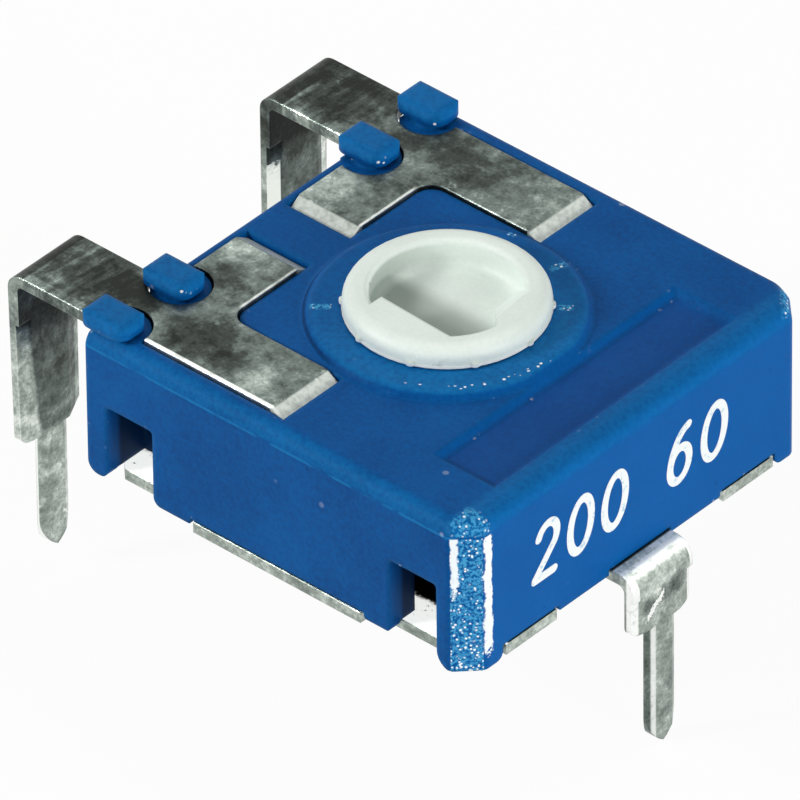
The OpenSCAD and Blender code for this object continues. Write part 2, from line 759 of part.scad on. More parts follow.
// One outer terminal on the positive Y side, its leg standing behind the housing by the overhang
module outer_terminal(overhang) {
    leg_x = rear_x - overhang;
    flat_x = leg_x + leg_bend_r;
    foot_z = track_z - sheet_t;
    nose_top = sheet_top - nose_h;
    difference() {
        translate([0, 0, seat_z]) linear_extrude(sheet_t)
            arms_2d(0, rear_x - flat_x + eps);
        for (s = sides)
            translate([stake_x, stake_mid_y + s * stake_pitch / 2, seat_z - 1])
                cylinder(h = 3, r = notch_r);
        translate([0, short_arm_end, sheet_top]) nose_cut(short_arm_w, arm_rear);
        translate([arm_end, long_arm_y, sheet_top]) rotate([0, 0, 90])
            nose_cut(long_arm_w, -long_arm_w / 2);
    }
    // Noses turned down at the arms' ends
    translate([arm_rear, short_arm_end, nose_z]) cube([short_arm_w, sheet_t, nose_top - nose_z]);
    translate([arm_end - sheet_t, long_arm_y - long_arm_w / 2, nose_z])
        cube([sheet_t, long_arm_w, nose_top - nose_z]);
    // Tongue that passes through the roof and is clinched under the element
    translate([tongue_x - tongue_w / 2, short_arm_end, foot_z]) {
        cube([tongue_w, sheet_t, nose_z - foot_z + eps]);
        cube([tongue_w, foot_l, sheet_t]);
    }
    // Anchor under the long arm
    translate([arm_end - sheet_t, long_arm_y - tongue_w / 2, anchor_z])
        cube([sheet_t, tongue_w, nose_z - anchor_z + eps]);
    translate([flat_x, tab_y + leg_shift, sheet_top - leg_bend_r])
        bend(leg_in + leg_out, leg_bend_r);
    translate([leg_x + sheet_t / 2, tab_y, 0])
        leg(leg_in, leg_out, sheet_top - leg_bend_r, sheet_top - coin_start,
            outer_shoulder, outer_tip, leg_taper, shoulder_drop);
}

module left_terminal() {
    color([0.7, 0.71, 0.68]) mirror([0, 1, 0]) outer_terminal(tab_overhang);
}

module right_terminal() {
    color([0.7, 0.71, 0.68]) outer_terminal(tab_overhang + right_extra);
}

// ---- Collector plate with the middle terminal ----

// Raised contact ring, pressed up from the plate: a groove below, a ridge above
module contact_ring() {
    rotate_extrude() translate([ring_r, 0])
        polygon([[-ring_half[0], -eps], [-ring_half[1], ring_h], [ring_half[1], ring_h],
                 [ring_half[0], -eps]]);
}

// Flat part of the plate with its tabs and the strip to the middle terminal
module plate_2d(flat_end) {
    difference() {
        square([plate_l, plate_w], center = true);
        for (sx = sides, sy = sides)
            translate([sx * plate_l / 2, sy * plate_w / 2]) rotate(45)
                square(plate_corner, center = true);
    }
    square([side_tab_l, body_w + 2 * tab_proud], center = true);
    for (s = sides)
        translate([0, s * front_tab_y - front_tab_w / 2])
            square([front_x + tab_proud, front_tab_w]);
    translate([0, -middle_w / 2]) square([flat_end + eps, middle_w]);
}

module collector_plate() {
    leg_face = front_x + middle_reach;
    flat_end = leg_face - middle_bend_r;
    bend_z = plate_top - middle_bend_r;
    color([0.72, 0.73, 0.7]) {
        translate([0, 0, plate_z]) difference() {
            union() {
                linear_extrude(sheet_t) plate_2d(flat_end);
                translate([0, 0, sheet_t]) contact_ring();
            }
            contact_ring();
            translate([0, 0, -1]) cylinder(h = 3, r = journal_r + running_fit);
        }
        translate([flat_end, 0, bend_z]) mirror([1, 0, 0]) bend(middle_w, middle_bend_r);
        translate([leg_face - sheet_t / 2, 0, 0])
            leg(middle_w / 2, middle_w / 2, bend_z, bend_z - 0.2, middle_shoulder,
                middle_tip, 0, 0);
    }
}

housing();
rotor();
wiper();
element();
carbon_track();
left_terminal();
right_terminal();
collector_plate();
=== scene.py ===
"""Finishes, printed digits, studio and camera for a square single-turn trimmer potentiometer.

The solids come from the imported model. This file gives each of them its finish, adds the
digits printed on the housing's front wall, and sets the floor, the lights and the camera.
All lengths in the meshes are metres; the sizes in the classes are millimetres.
"""

import logging
import math
from collections.abc import Callable
from dataclasses import dataclass
from enum import Enum
from functools import cached_property

import bpy
import numpy as np
from mathutils import Matrix, Vector


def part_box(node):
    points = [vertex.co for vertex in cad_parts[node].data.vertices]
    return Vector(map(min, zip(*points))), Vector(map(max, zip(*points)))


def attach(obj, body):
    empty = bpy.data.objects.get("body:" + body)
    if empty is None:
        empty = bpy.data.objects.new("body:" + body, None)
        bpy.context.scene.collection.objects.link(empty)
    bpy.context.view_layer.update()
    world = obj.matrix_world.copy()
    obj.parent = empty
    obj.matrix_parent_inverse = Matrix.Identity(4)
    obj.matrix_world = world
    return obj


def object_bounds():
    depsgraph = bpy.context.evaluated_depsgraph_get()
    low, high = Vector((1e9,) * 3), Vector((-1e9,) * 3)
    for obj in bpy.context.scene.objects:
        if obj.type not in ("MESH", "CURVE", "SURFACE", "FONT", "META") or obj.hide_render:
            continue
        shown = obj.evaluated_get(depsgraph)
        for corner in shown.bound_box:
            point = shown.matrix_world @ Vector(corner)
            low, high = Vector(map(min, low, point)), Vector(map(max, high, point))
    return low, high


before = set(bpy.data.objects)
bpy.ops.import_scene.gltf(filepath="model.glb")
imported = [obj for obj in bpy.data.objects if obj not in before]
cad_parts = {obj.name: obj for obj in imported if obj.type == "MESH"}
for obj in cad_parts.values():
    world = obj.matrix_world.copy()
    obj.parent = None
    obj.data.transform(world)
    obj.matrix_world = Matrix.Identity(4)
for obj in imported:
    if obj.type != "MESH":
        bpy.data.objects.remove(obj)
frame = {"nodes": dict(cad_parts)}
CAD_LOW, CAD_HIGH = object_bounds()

LOG = logging.getLogger("trimmer")
MM = 0.001

Triple = tuple[float, float, float]
Colour = Triple
Span = tuple[float, float]

FRONT: Triple = (1.0, 0.0, 0.0)
LEFT: Triple = (0.0, -1.0, 0.0)
UP: Triple = (0.0, 0.0, 1.0)


class Axis(Enum):
    """A coordinate of the row frame."""

    X = 0
    Y = 1
    Z = 2


# ---- Shader arithmetic ----


def _operator(operation: str) -> Callable[["Signal", "Signal | float"], "Signal"]:
    """Returns a method that joins two values in a Math node."""
    return lambda first, second: first.math(operation, first, second)


@dataclass(eq=False)
class Signal:
    """A number or a vector that varies over a surface, with the arithmetic that finishes need."""

    tree: "Tree"
    socket: bpy.types.NodeSocket | None

    __add__ = __radd__ = _operator("ADD")
    __sub__ = _operator("SUBTRACT")
    __mul__ = __rmul__ = _operator("MULTIPLY")

    def __rsub__(self, other: float) -> "Signal":
        """Returns a number less this value."""
        return self.math("SUBTRACT", other, self)

    def math(self, operation: str, *terms: "Signal | float") -> "Signal":
        """Returns a Math node's result for the given terms."""
        return self.tree.node(
            "ShaderNodeMath", {"operation": operation}, dict(enumerate(terms))
        )

    def size(self) -> "Signal":
        """Returns the value without its sign."""
        return self.math("ABSOLUTE", self)

    def most(self, *others: "Signal | float") -> "Signal":
        """Returns the largest of this value and the others."""
        largest = self
        for other in others:
            largest = self.math("MAXIMUM", largest, other)
        return largest

    def rise(self, low: float, high: float) -> "Signal":
        """Returns a smooth step, 0 at low and 1 at high; high may be the smaller one."""
        return self.tree.node(
            "ShaderNodeMapRange",
            {"interpolation_type": "SMOOTHSTEP"},
            {"Value": self, "From Min": low, "From Max": high},
        )

    def band(self, centre: float, half: float, soft: float) -> "Signal":
        """Returns 1 within half of the centre, falling to 0 over the soft distance."""
        return (self - centre).size().rise(half + soft, half)


class Tree:
    """A new material, or a new world, and the nodes that make it up.

    Its point, x, y, z and radius tell where on the part the surface is, in millimetres of the
    row frame. Each is read once, when first asked for.
    """

    def __init__(self, name: str, world: bool = False) -> None:
        """Starts an empty material of this name, or an empty world."""
        self.owner = (bpy.data.worlds if world else bpy.data.materials).new(name)
        self.owner.use_nodes = True
        self.nodes = self.owner.node_tree.nodes
        self.links = self.owner.node_tree.links
        self.nodes.clear()

    @cached_property
    def point(self) -> Signal:
        """The point on the surface."""
        metres = self.node("ShaderNodeTexCoord", output="Object")
        return self.node(
            "ShaderNodeVectorMath", {"operation": "SCALE"}, {0: metres, "Scale": 1 / MM}
        )

    @cached_property
    def x(self) -> Signal:
        """How far forward the point is."""
        return self.along(self.point, Axis.X)

    @cached_property
    def y(self) -> Signal:
        """How far to the right terminal's side the point is."""
        return self.along(self.point, Axis.Y)

    @cached_property
    def z(self) -> Signal:
        """How high the point is."""
        return self.along(self.point, Axis.Z)

    @cached_property
    def radius(self) -> Signal:
        """How far the point is from the rotor's axis."""
        flat = self.vector("MULTIPLY", self.point, (1.0, 1.0, 0.0))
        return self.node(
            "ShaderNodeVectorMath", {"operation": "LENGTH"}, {0: flat}, output="Value"
        )

    @cached_property
    def facing(self) -> Signal:
        """The direction in which the surface faces."""
        return self.node("ShaderNodeNewGeometry", output="Normal")

    def node(
        self,
        kind: str,
        settings: dict[str, object] | None = None,
        inputs: dict[str | int, object] | None = None,
        output: str | int = 0,
    ) -> Signal:
        """Adds a node.

        Args:
            kind: the node's type.
            settings: its settings, set first.
            inputs: a value or a Signal for each named or numbered input.
            output: the output that is returned.

        Returns:
            The chosen output.
        """
        made = self.nodes.new(kind)
        for key, value in (settings or {}).items():
            setattr(made, key, value)
        for key, value in (inputs or {}).items():
            target = made.inputs[key]
            if isinstance(value, Signal):
                self.links.new(value.socket, target)
            elif isinstance(value, tuple) and len(value) == 3 and target.type == "RGBA":
                target.default_value = (*value, 1.0)
            else:
                target.default_value = value
        return Signal(self, made.outputs[output] if made.outputs else None)

    def vector(
        self, operation: str, first: Signal, second: Signal | Triple, output: str = "Vector"
    ) -> Signal:
        """Returns what a Vector Math node makes of two vectors."""
        settings, terms = {"operation": operation}, {0: first, 1: second}
        return self.node("ShaderNodeVectorMath", settings, terms, output)

    def along(self, point: Signal, axis: Axis) -> Signal:
        """Returns one coordinate of a point."""
        return self.node("ShaderNodeSeparateXYZ", inputs={0: point}, output=axis.value)

    def ahead(self, turn_deg: float) -> Signal:
        """Returns how far the point lies from the rotor's axis along one direction."""
        turn = math.radians(turn_deg)
        direction = (math.cos(turn), math.sin(turn), 0.0)
        return self.vector("DOT_PRODUCT", self.point, direction, "Value")

    def toward(self, direction: Triple) -> Signal:
        """Returns how far the surface faces a direction: 1 straight at it, 0 along it."""
        return self.vector("DOT_PRODUCT", self.facing, direction, "Value")

    def stretched(self, turn_deg: float, stretch: Triple) -> Signal:
        """Returns the point turned about Z and then stretched along each axis."""
        turned = self.node(
            "ShaderNodeMapping",
            inputs={"Vector": self.point, "Rotation": (0, 0, math.radians(turn_deg))},
        )
        return self.vector("MULTIPLY", turned, stretch)

    def noise(
        self, per_mm: float, detail: float = 2.0, rough: float = 0.5, point: Signal | None = None
    ) -> Signal:
        """Returns cloudy noise from 0 to 1.

        Args:
            per_mm: about how many patches there are in a millimetre.
            detail: how many finer layers lie on the first.
            rough: how strong the finer layers are.
            point: the place, where it isn't the plain point on the surface.
        """
        inputs = {"Vector": point or self.point, "Scale": per_mm}
        inputs |= {"Detail": detail, "Roughness": rough}
        return self.node("ShaderNodeTexNoise", inputs=inputs, output="Fac")

    def specks(self, per_mm: float, share: float) -> Signal:
        """Returns small dots: 1 inside a cell's heart, for about this share of the cells."""
        inputs = {"Vector": self.point, "Scale": per_mm}
        distance, colour = (
            self.node("ShaderNodeTexVoronoi", inputs=inputs, output=output)
            for output in ("Distance", "Color")
        )
        chosen = self.along(colour, Axis.X).rise(1 - share, 1 - share + 0.02)
        return distance.rise(0.34, 0.2) * chosen

    def blend(
        self, share: Signal, first: Signal | Colour, second: Signal | Colour
    ) -> Signal:
        """Returns a colour from the first, at share 0, to the second, at share 1."""
        terms = {"Factor": share, 6: first, 7: second}
        return self.node("ShaderNodeMix", {"data_type": "RGBA"}, terms, output=2)

    def layered(self, base: Signal, *layers: tuple[Signal, Colour]) -> Signal:
        """Returns a colour with others laid over it in order, each by its share."""
        for share, colour in layers:
            base = self.blend(share, base, colour)
        return base

    def seen(self) -> Signal:
        """Returns 1 for what the camera sees, straight or mirrored, and 0 for other light."""
        straight = self.node("ShaderNodeLightPath", output="Is Camera Ray")
        mirrored = self.node("ShaderNodeLightPath", output="Is Glossy Ray")
        return straight.most(mirrored)

    def soft_normal(self, radius_mm: float) -> Signal:
        """Returns the normal with every edge rounded by this radius."""
        return self.node("ShaderNodeBevel", {"samples": 4}, {"Radius": radius_mm * MM})

    def edges(self, soft: Signal) -> Signal:
        """Returns how much a rounded normal leaves the true one: 0 on flats, more at edges."""
        match = self.vector("DOT_PRODUCT", soft, self.facing, "Value")
        return match.rise(0.995, 0.75)

    def relief(self, height: Signal, depth_mm: float, under: Signal) -> Signal:
        """Returns the normal of a relief of this depth laid over another normal."""
        inputs = {"Height": height, "Distance": depth_mm * MM}
        inputs |= {"Strength": 1.0, "Normal": under}
        return self.node("ShaderNodeBump", inputs=inputs)

    def finish(self, **inputs: Signal | float | Colour) -> bpy.types.Material:
        """Closes the tree with a Principled surface.

        Args:
            inputs: the surface's inputs, with "_" for a space in their names.

        Returns:
            The material.
        """
        named = {key.replace("_", " "): value for key, value in inputs.items()}
        surface = self.node("ShaderNodeBsdfPrincipled", inputs=named)
        self.node("ShaderNodeOutputMaterial", inputs={"Surface": surface})
        return self.owner


# ---- Finishes ----


@dataclass(frozen=True)
class CollarGlint:
    """A short painted glint across the collar: its direction, its place and its half length."""

    turn_deg: float
    radius: float
    half: float


@dataclass(frozen=True)
class BlueMoulding:
    """Satin blue moulded plastic with a fine speckle.

    Painted glints and a painted sheen lie over the spark-eroded crumbs on both front corners and
    on the collar's upper edge. Painted light makes the front wall, the rounded edges, the collar
    and the stake heads paler, with a painted highlight along the left wall's parting line and on
    every edge, and painted shade lies deep in the side windows and round the collar. The marking
    recess is a little deeper in tone.
    """

    deep: Colour = (0.002, 0.055, 0.215)
    bright: Colour = (0.003, 0.092, 0.315)
    # Painted light: the lighter blue laid on faces turned to the front.
    painted_front_light: Colour = (0.0, 0.112, 0.405)
    violet: Colour = (0.010, 0.042, 0.20)
    # Painted highlight colour: the paler zones, the parting line and every edge.
    highlight_cyan: Colour = (0.015, 0.27, 0.60)
    # The crumbs' own paler texture, with a painted sheen on it.
    pale_sheen: Colour = (0.10, 0.52, 0.84)
    # Painted glint colour.
    painted_glint: Colour = (0.90, 0.96, 0.99)
    # Colour of the dark specks, and of the painted shade in the windows and round the collar.
    soot_and_shade: Colour = (0.001, 0.012, 0.05)
    roughness: float = 0.38
    gloss: float = 0.08
    gloss_tint: tuple[float, float, float, float] = (0.3, 0.7, 1.0, 1.0)
    grain_mm: float = 0.004
    edge_mm: float = 0.20
    front_light_share: float = 0.55
    recess_share: float = 0.35
    painted_light_share: float = 0.4
    parting_highlight_share: float = 0.4
    soot_share: float = 0.6
    edge_light_share: float = 0.22
    sheen_share: float = 0.6
    stray_glint_share: float = 0.45
    edge_glint_share: float = 0.8
    half_length: float = 6.7
    half_width: float = 6.8
    chamfer: float = 0.67
    top_z: float = 4.6
    on_top: Span = (4.58, 4.59)
    on_collar: Span = (4.72, 4.8)
    on_heads: Span = (4.84, 4.95)
    parting_z: float = 4.13
    parting_half: float = 0.025
    recess_x: Span = (3.95, 5.7)
    recess_half_y: float = 4.6
    recess_soft: float = 0.1
    window_y: Span = (6.42, 6.2)
    window_x: Span = (6.4, 6.3)
    window_z: Span = (2.5, 2.4)
    window_shade: float = 0.9
    line_r: float = 3.79
    line_half: float = 0.025
    line_shade: float = 0.6
    collar_r: Span = (4.1, 3.6)
    collar_sunny_deg: float = -30.0
    heads_r: Span = (4.2, 4.6)
    arc_r: float = 3.5
    arc_half: float = 0.04
    arc_deg: float = -32.0
    arc_half_deg: float = 38.0
    # Painted glints: short marks across the collar.
    glint_marks: tuple[CollarGlint, ...] = (
        CollarGlint(-139.0, 3.35, 0.24),
        CollarGlint(72.0, 3.4, 0.22),
        CollarGlint(40.0, 3.1, 0.16),
        CollarGlint(103.0, 3.62, 0.07),
    )
    glint_half_w: float = 0.09

    @property
    def facet_at(self) -> float:
        """How far out the corner facets lie, as x + y."""
        return self.half_length + self.half_width - self.chamfer

    def material(self) -> bpy.types.Material:
        """Returns the housing's material."""
        tree = Tree("blue_moulding")
        grain = tree.noise(6.5, 3.0, 0.7)
        crumb = tree.noise(11.0, 2.0, 0.65)
        soft = tree.soft_normal(self.edge_mm)
        edge = tree.edges(soft)
        zone = self._crumb_zone(tree)
        glint_marks = self._collar_glints(tree)
        # Partly the crumbs' own paler texture, partly painted sheen, also on the collar's glint
        # marks.
        pale_sheen = zone.most(glint_marks) * crumb.rise(0.40, 0.60) * self.sheen_share
        # Painted glints: corner lines, dots on the crumbs, the collar arc and heads, stray dots,
        # dots along edges.
        sparkle = self._corner_lines(tree, crumb).most(
            self._dots(tree, zone, glint_marks, grain),
            self._ring(tree),
            tree.specks(3.1, 0.010) * self.stray_glint_share,
            self._edge_glints(tree, edge) * self.edge_glint_share,
        )
        colour = tree.layered(
            # Painted shade deep in the side windows and round the collar.
            self._plain(tree, grain, edge),
            (self._window_and_collar_shade(tree), self.soot_and_shade),
            (pale_sheen, self.pale_sheen),
            (sparkle, self.painted_glint),
        )
        return tree.finish(
            Base_Color=colour,
            Roughness=grain * 0.2 + self.roughness - sparkle * 0.2,
            Specular_IOR_Level=self.gloss,
            Specular_Tint=self.gloss_tint,
            Normal=tree.relief(grain * 0.7 + crumb * 0.5, self.grain_mm, soft),
        )

    def _plain(self, tree: Tree, grain: Signal, edge: Signal) -> Signal:
        """Returns the plastic's colour, its painted light and highlights included, without the
        painted shade and glints.
        """
        cloud = tree.noise(0.5, 3.0)
        tone = (cloud * 0.4 + grain * 0.6).rise(0.3, 0.7)
        # Painted light: faces turned to the front get a lighter blue, as the front lamp would give.
        front = tree.toward(FRONT).rise(0.35, 0.95)
        # Painted highlight: a broken bright line along the left wall, at the parting line.
        line = tree.z.band(self.parting_z, self.parting_half, 0.03)
        line = line * tree.y.rise(0.2 - self.half_width, 0.05 - self.half_width)
        line = line * tree.noise(1.6, 2.0).rise(0.3, 0.55)
        return tree.layered(
            tree.blend(tone, self.deep, self.bright),
            (front * self.front_light_share, self.painted_front_light),
            (self._recess(tree) * self.recess_share, self.violet),
            # Painted light: paler front rim, rounded left edge, sunny side of the collar and stake
            # heads.
            (self._painted_light_zones(tree, grain) * self.painted_light_share, self.highlight_cyan),
            (line * self.parting_highlight_share, self.highlight_cyan),
            (tree.specks(4.5, 0.012) * self.soot_share, self.soot_and_shade),
            # Painted highlight: every edge a little paler.
            (edge * self.edge_light_share, self.highlight_cyan),
        )

    def _recess(self, tree: Tree) -> Signal:
        """Returns 1 on the marking recess's floor."""
        low, high = self.recess_x
        soft = self.recess_soft
        inside = tree.x.band((low + high) / 2, (high - low) / 2, soft)
        across = tree.y.size().rise(self.recess_half_y + soft, self.recess_half_y)
        floor = tree.z.rise(self.top_z - 0.02, self.top_z - 0.12)
        return inside * across * floor * tree.z.rise(4.0, 4.2)

    def _painted_light_zones(self, tree: Tree, grain: Signal) -> Signal:
        """Returns the painted light: a paler front rim, rounded left edge, collar (most on its
        sunny side) and heads.
        """
        x, y, z = tree.x, tree.y, tree.z
        rim = x.rise(5.75, 6.1) * z.rise(4.05, 4.3) * 0.6
        left = y.rise(-6.3, -6.6) * z.rise(self.parting_z, self.parting_z + 0.1) * 0.6
        sunny = tree.ahead(self.collar_sunny_deg).rise(-3.3, 3.3) * 0.9 + 0.17
        collar = tree.radius.rise(*self.collar_r) * z.rise(4.7, 4.8) * sunny
        heads = z.rise(*self.on_heads) * tree.radius.rise(*self.heads_r) * 0.8
        return rim.most(left, collar, heads) * (grain.rise(0.3, 0.62) * 0.35 + 0.5)

    def _corner_lines(self, tree: Tree, crumb: Signal) -> Signal:
        """Returns the painted highlights: two broken white lines down the front left corner's
        upright edges.
        """
        x, y, z = tree.x, tree.y, tree.z
        facet = self._facet(tree, 0.04)
        wander = (tree.noise(2.6, 3.0, 0.7) - 0.5) * 0.3
        across = (x + y) * (1 / math.sqrt(2)) + wander
        rough = crumb * 0.9 + tree.noise(5.0, 2.0) * 0.5
        left = across.band(-0.4, 0.07, 0.05) * facet
        left = left * (z.rise(1.6, 3.4) * 0.75 + rough).rise(0.95, 1.12)
        right = (y + wander).band(-5.98, 0.11, 0.05) * x.rise(6.6, 6.66)
        right = right * (z.rise(-0.4, 1.1) * 0.55 + rough).rise(0.90, 1.06)
        return left.most(right) * z.rise(self.parting_z, self.parting_z - 0.04)

    def _facet(self, tree: Tree, soft: float = 0.03) -> Signal:
        """Returns 1 on the front left corner's facet."""
        return (tree.x - tree.y).rise(self.facet_at - soft, self.facet_at - 0.01)

    def _crumb_zone(self, tree: Tree) -> Signal:
        """Returns where the mould was spark-eroded: the facet, a patch above it, the far corner."""
        x, y, z = tree.x, tree.y, tree.z
        facet = self._facet(tree) * z.rise(4.12, 4.06)
        above = x.band(6.32, 0.3, 0.18) * y.band(-6.28, 0.32, 0.18)
        above = above * z.rise(4.14, 4.2) * 0.85
        far = (x + y).rise(self.facet_at - 0.5, self.facet_at - 0.2)
        return facet.most(above, far * z.rise(4.3, 4.42))

    def _dots(self, tree: Tree, zone: Signal, glint_marks: Signal, grain: Signal) -> Signal:
        """Returns the painted glint dots: some all over the crumbs, more on the collar's marks and
        the facet's denser parts.
        """
        dots = zone * tree.specks(8.5, 0.6) * grain.rise(0.34, 0.46)
        dense = glint_marks.most(self._dense_glint_facet(tree))
        return dots.most(dense * tree.specks(7.0, 0.9))

    def _collar_glints(self, tree: Tree) -> Signal:
        """Returns the short painted glints across the collar, each pointing at the axis."""
        glint_marks: Signal | float = 0.0
        for mark in self.glint_marks:
            out = tree.ahead(mark.turn_deg).band(mark.radius, mark.half, 0.08)
            side = tree.ahead(mark.turn_deg + 90.0).band(0.0, self.glint_half_w, 0.05)
            glint_marks = (out * side).most(glint_marks)
        return glint_marks * tree.z.rise(*self.on_collar)

    def _dense_glint_facet(self, tree: Tree) -> Signal:
        """Returns where the corner facet's painted glints are denser: low along its left edge, and
        at its foot.
        """
        across = (tree.x + tree.y) * (1 / math.sqrt(2))
        left = across.band(-0.36, 0.12, 0.1) * tree.z.rise(3.1, 2.8)
        return left.most(tree.z.rise(0.9, 0.5)) * self._facet(tree)

    def _edge_glints(self, tree: Tree, edge: Signal) -> Signal:
        """Returns the painted glint dots along every edge, in places."""
        worn = edge * tree.specks(5.0, 0.35)
        return worn * tree.noise(1.3, 2.0).rise(0.5, 0.62)

    def _window_and_collar_shade(self, tree: Tree) -> Signal:
        """Returns the painted shade: deep in the side windows, and a dark line round the collar."""
        deep = tree.y.size().rise(*self.window_y) * tree.x.size().rise(*self.window_x)
        deep = deep * tree.z.rise(*self.window_z)
        line = tree.radius.band(self.line_r, self.line_half, 0.03)
        line = line * tree.x.rise(-0.2, -1.4) * tree.z.rise(*self.on_top)
        return (deep * self.window_shade).most(line * self.line_shade)

    def _ring(self, tree: Tree) -> Signal:
        """Returns the painted glints: a sparkling arc round the collar's upper edge, and dots on
        the heads.
        """
        wander = (tree.noise(3.0, 2.0) - 0.5) * 0.12
        ring = (tree.radius + wander).band(self.arc_r, self.arc_half, 0.04)
        over = tree.ahead(self.arc_deg)
        over = over - tree.radius * math.cos(math.radians(self.arc_half_deg))
        ring = ring * tree.z.rise(*self.on_collar) * over.rise(0.0, 0.25)
        heads = tree.toward((0.74, -0.56, 0.36)).rise(0.78, 0.9) * tree.z.rise(4.8, 4.85)
        return (ring * tree.specks(6.4, 0.9)).most(heads * tree.specks(6.0, 0.45))


@dataclass(frozen=True)
class PaleMoulding:
    """Greenish-white moulded plastic of the rotor: a few dark specks, a bright flash at its rim,
    and painted shade in its pocket and low on its side.
    """

    light: Colour = (0.82, 0.895, 0.83)
    shade: Colour = (0.74, 0.82, 0.76)
    # Painted shade colour, in the pocket and low on the side.
    shade_tone: Colour = (0.30, 0.355, 0.315)
    speck: Colour = (0.20, 0.23, 0.19)
    flash: Colour = (0.95, 0.97, 0.95)
    roughness: float = 0.42
    grain_mm: float = 0.003
    edge_mm: float = 0.10
    glow_depth_mm: float = 0.35
    glow_radius: Triple = (0.5, 0.6, 0.5)
    glow_share: float = 0.06
    flange_z: float = 4.86
    pocket_r: Span = (2.15, 2.0)
    pocket_z: Span = (5.44, 5.3)
    pocket_deep: Span = (5.40, 4.78)
    flash_half: float = 0.03
    wall_shade_share: float = 0.85
    near_flat_shade_share: float = 0.72
    under_flat_shade_share: float = 0.2
    corner_shade_share: float = 0.34
    foot_shade_share: float = 0.13
    smear_share: float = 0.35
    speck_share: float = 0.7
    flash_share: float = 0.8

    def material(self) -> bpy.types.Material:
        """Returns the rotor's material."""
        tree = Tree("pale_moulding")
        z, radius = tree.z, tree.radius
        grain = tree.noise(10.0, 3.0, 0.6)
        tone = (tree.noise(0.8, 3.0) * 0.55 + grain * 0.45).rise(0.3, 0.7)
        # Painted shade: low on the rotor's side.
        foot = z.rise(5.3, 4.9) * radius.rise(2.4, 2.6)
        low = z.rise(self.flange_z + 0.5, self.flange_z + 0.05) * radius.rise(2.3, 2.4)
        smear = tree.noise(1.7, 4.0, 0.7).rise(0.60, 0.72) * low
        speck = tree.specks(3.0, 0.02)
        flash = z.band(self.flange_z + 0.045, self.flash_half, 0.02)
        flash = flash * radius.rise(2.5, 2.6)
        colour = tree.layered(
            tree.blend(tone, self.shade, self.light),
            # Painted shade in the pocket and low on the side.
            (self._pocket_shade(tree), self.shade_tone),
            (foot * self.foot_shade_share, self.shade_tone),
            (smear * self.smear_share, self.speck),
            (speck * self.speck_share, self.speck),
            (flash * self.flash_share, self.flash),
        )
        soft = tree.soft_normal(self.edge_mm)
        return tree.finish(
            Base_Color=colour,
            Roughness=grain * 0.15 + self.roughness,
            Normal=tree.relief(grain + speck * -1.5, self.grain_mm, soft),
            Subsurface_Weight=self.glow_share,
            Subsurface_Radius=self.glow_radius,
            Subsurface_Scale=self.glow_depth_mm * MM,
        )

    def _pocket_shade(self, tree: Tree) -> Signal:
        """Returns the pocket's painted shade: on the wall by the driving flat, and on the floor
        near it.
        """
        x, y, z = tree.x, tree.y, tree.z
        inside = tree.radius.rise(*self.pocket_r) * z.rise(*self.pocket_z)
        wall = tree.toward((0.70, 0.62, 0.0)).rise(0.05, 0.8) * self.wall_shade_share
        corner = x.rise(-0.5, -1.6) * y.rise(0.7, -0.3) * self.corner_shade_share
        near_flat = y.rise(0.62, -0.12) * self.near_flat_shade_share
        near_flat = near_flat + y.rise(0.1, -1.0) * self.under_flat_shade_share
        return inside * wall.most((near_flat + corner) * z.rise(*self.pocket_deep))


@dataclass(frozen=True)
class Smudge:
    """A soft-edged patch: its middle, its reach and how much lighter it makes the sheet."""

    x: float
    y: float
    reach: float
    lift: float
    z: float = 4.7


class TinBase:
    """What both tinned finishes share: tone from clouds and patches, a ramp of tin tones."""

    TONES: tuple[tuple[float, Colour], ...] = (
        (0.0, (0.014, 0.017, 0.014)),
        (0.25, (0.045, 0.055, 0.048)),
        (0.5, (0.135, 0.165, 0.150)),
        (0.72, (0.32, 0.37, 0.33)),
        (0.88, (0.60, 0.66, 0.60)),
        (1.0, (0.90, 0.93, 0.88)),
    )

    @staticmethod
    def clouds(tree: Tree, fine_share: float = 1.0) -> Signal:
        """Returns the sheet's mottling, about -0.35 to 0.35, with this share of its fine part."""
        big = tree.noise(0.75, 3.0, 0.55) - 0.5
        middle = tree.noise(2.6, 4.0, 0.65) - 0.5
        fine = tree.noise(9.0, 3.0, 0.7) - 0.5
        return big * 0.75 + middle * 0.7 + fine * (0.45 * fine_share)

    @staticmethod
    def smudged(tree: Tree, tone: Signal, smudges: tuple[Smudge, ...]) -> Signal:
        """Returns the tone with each patch added, its outline broken up by noise."""
        ragged = tree.noise(2.2, 4.0, 0.7) - 0.5
        for smudge in smudges:
            middle = (smudge.x, smudge.y, smudge.z)
            away = tree.vector("DISTANCE", tree.point, middle, "Value")
            away = away + ragged * (smudge.reach * 1.3)
            inside = away.rise(smudge.reach * 1.15, smudge.reach * 0.35)
            tone = tone + inside * smudge.lift
        return tone

    def tin(self, tree: Tree, tone: Signal) -> Signal:
        """Returns the tin's colour for a tone from 0, sooty, to 1, bright."""
        tin = tree.node("ShaderNodeValToRGB", inputs={"Fac": tone})
        stops = tin.socket.node.color_ramp.elements
        while len(stops) < len(self.TONES):
            stops.new(1.0)
        for stop, (place, colour) in zip(stops, self.TONES):
            stop.position, stop.color = place, (*colour, 1.0)
        return tin


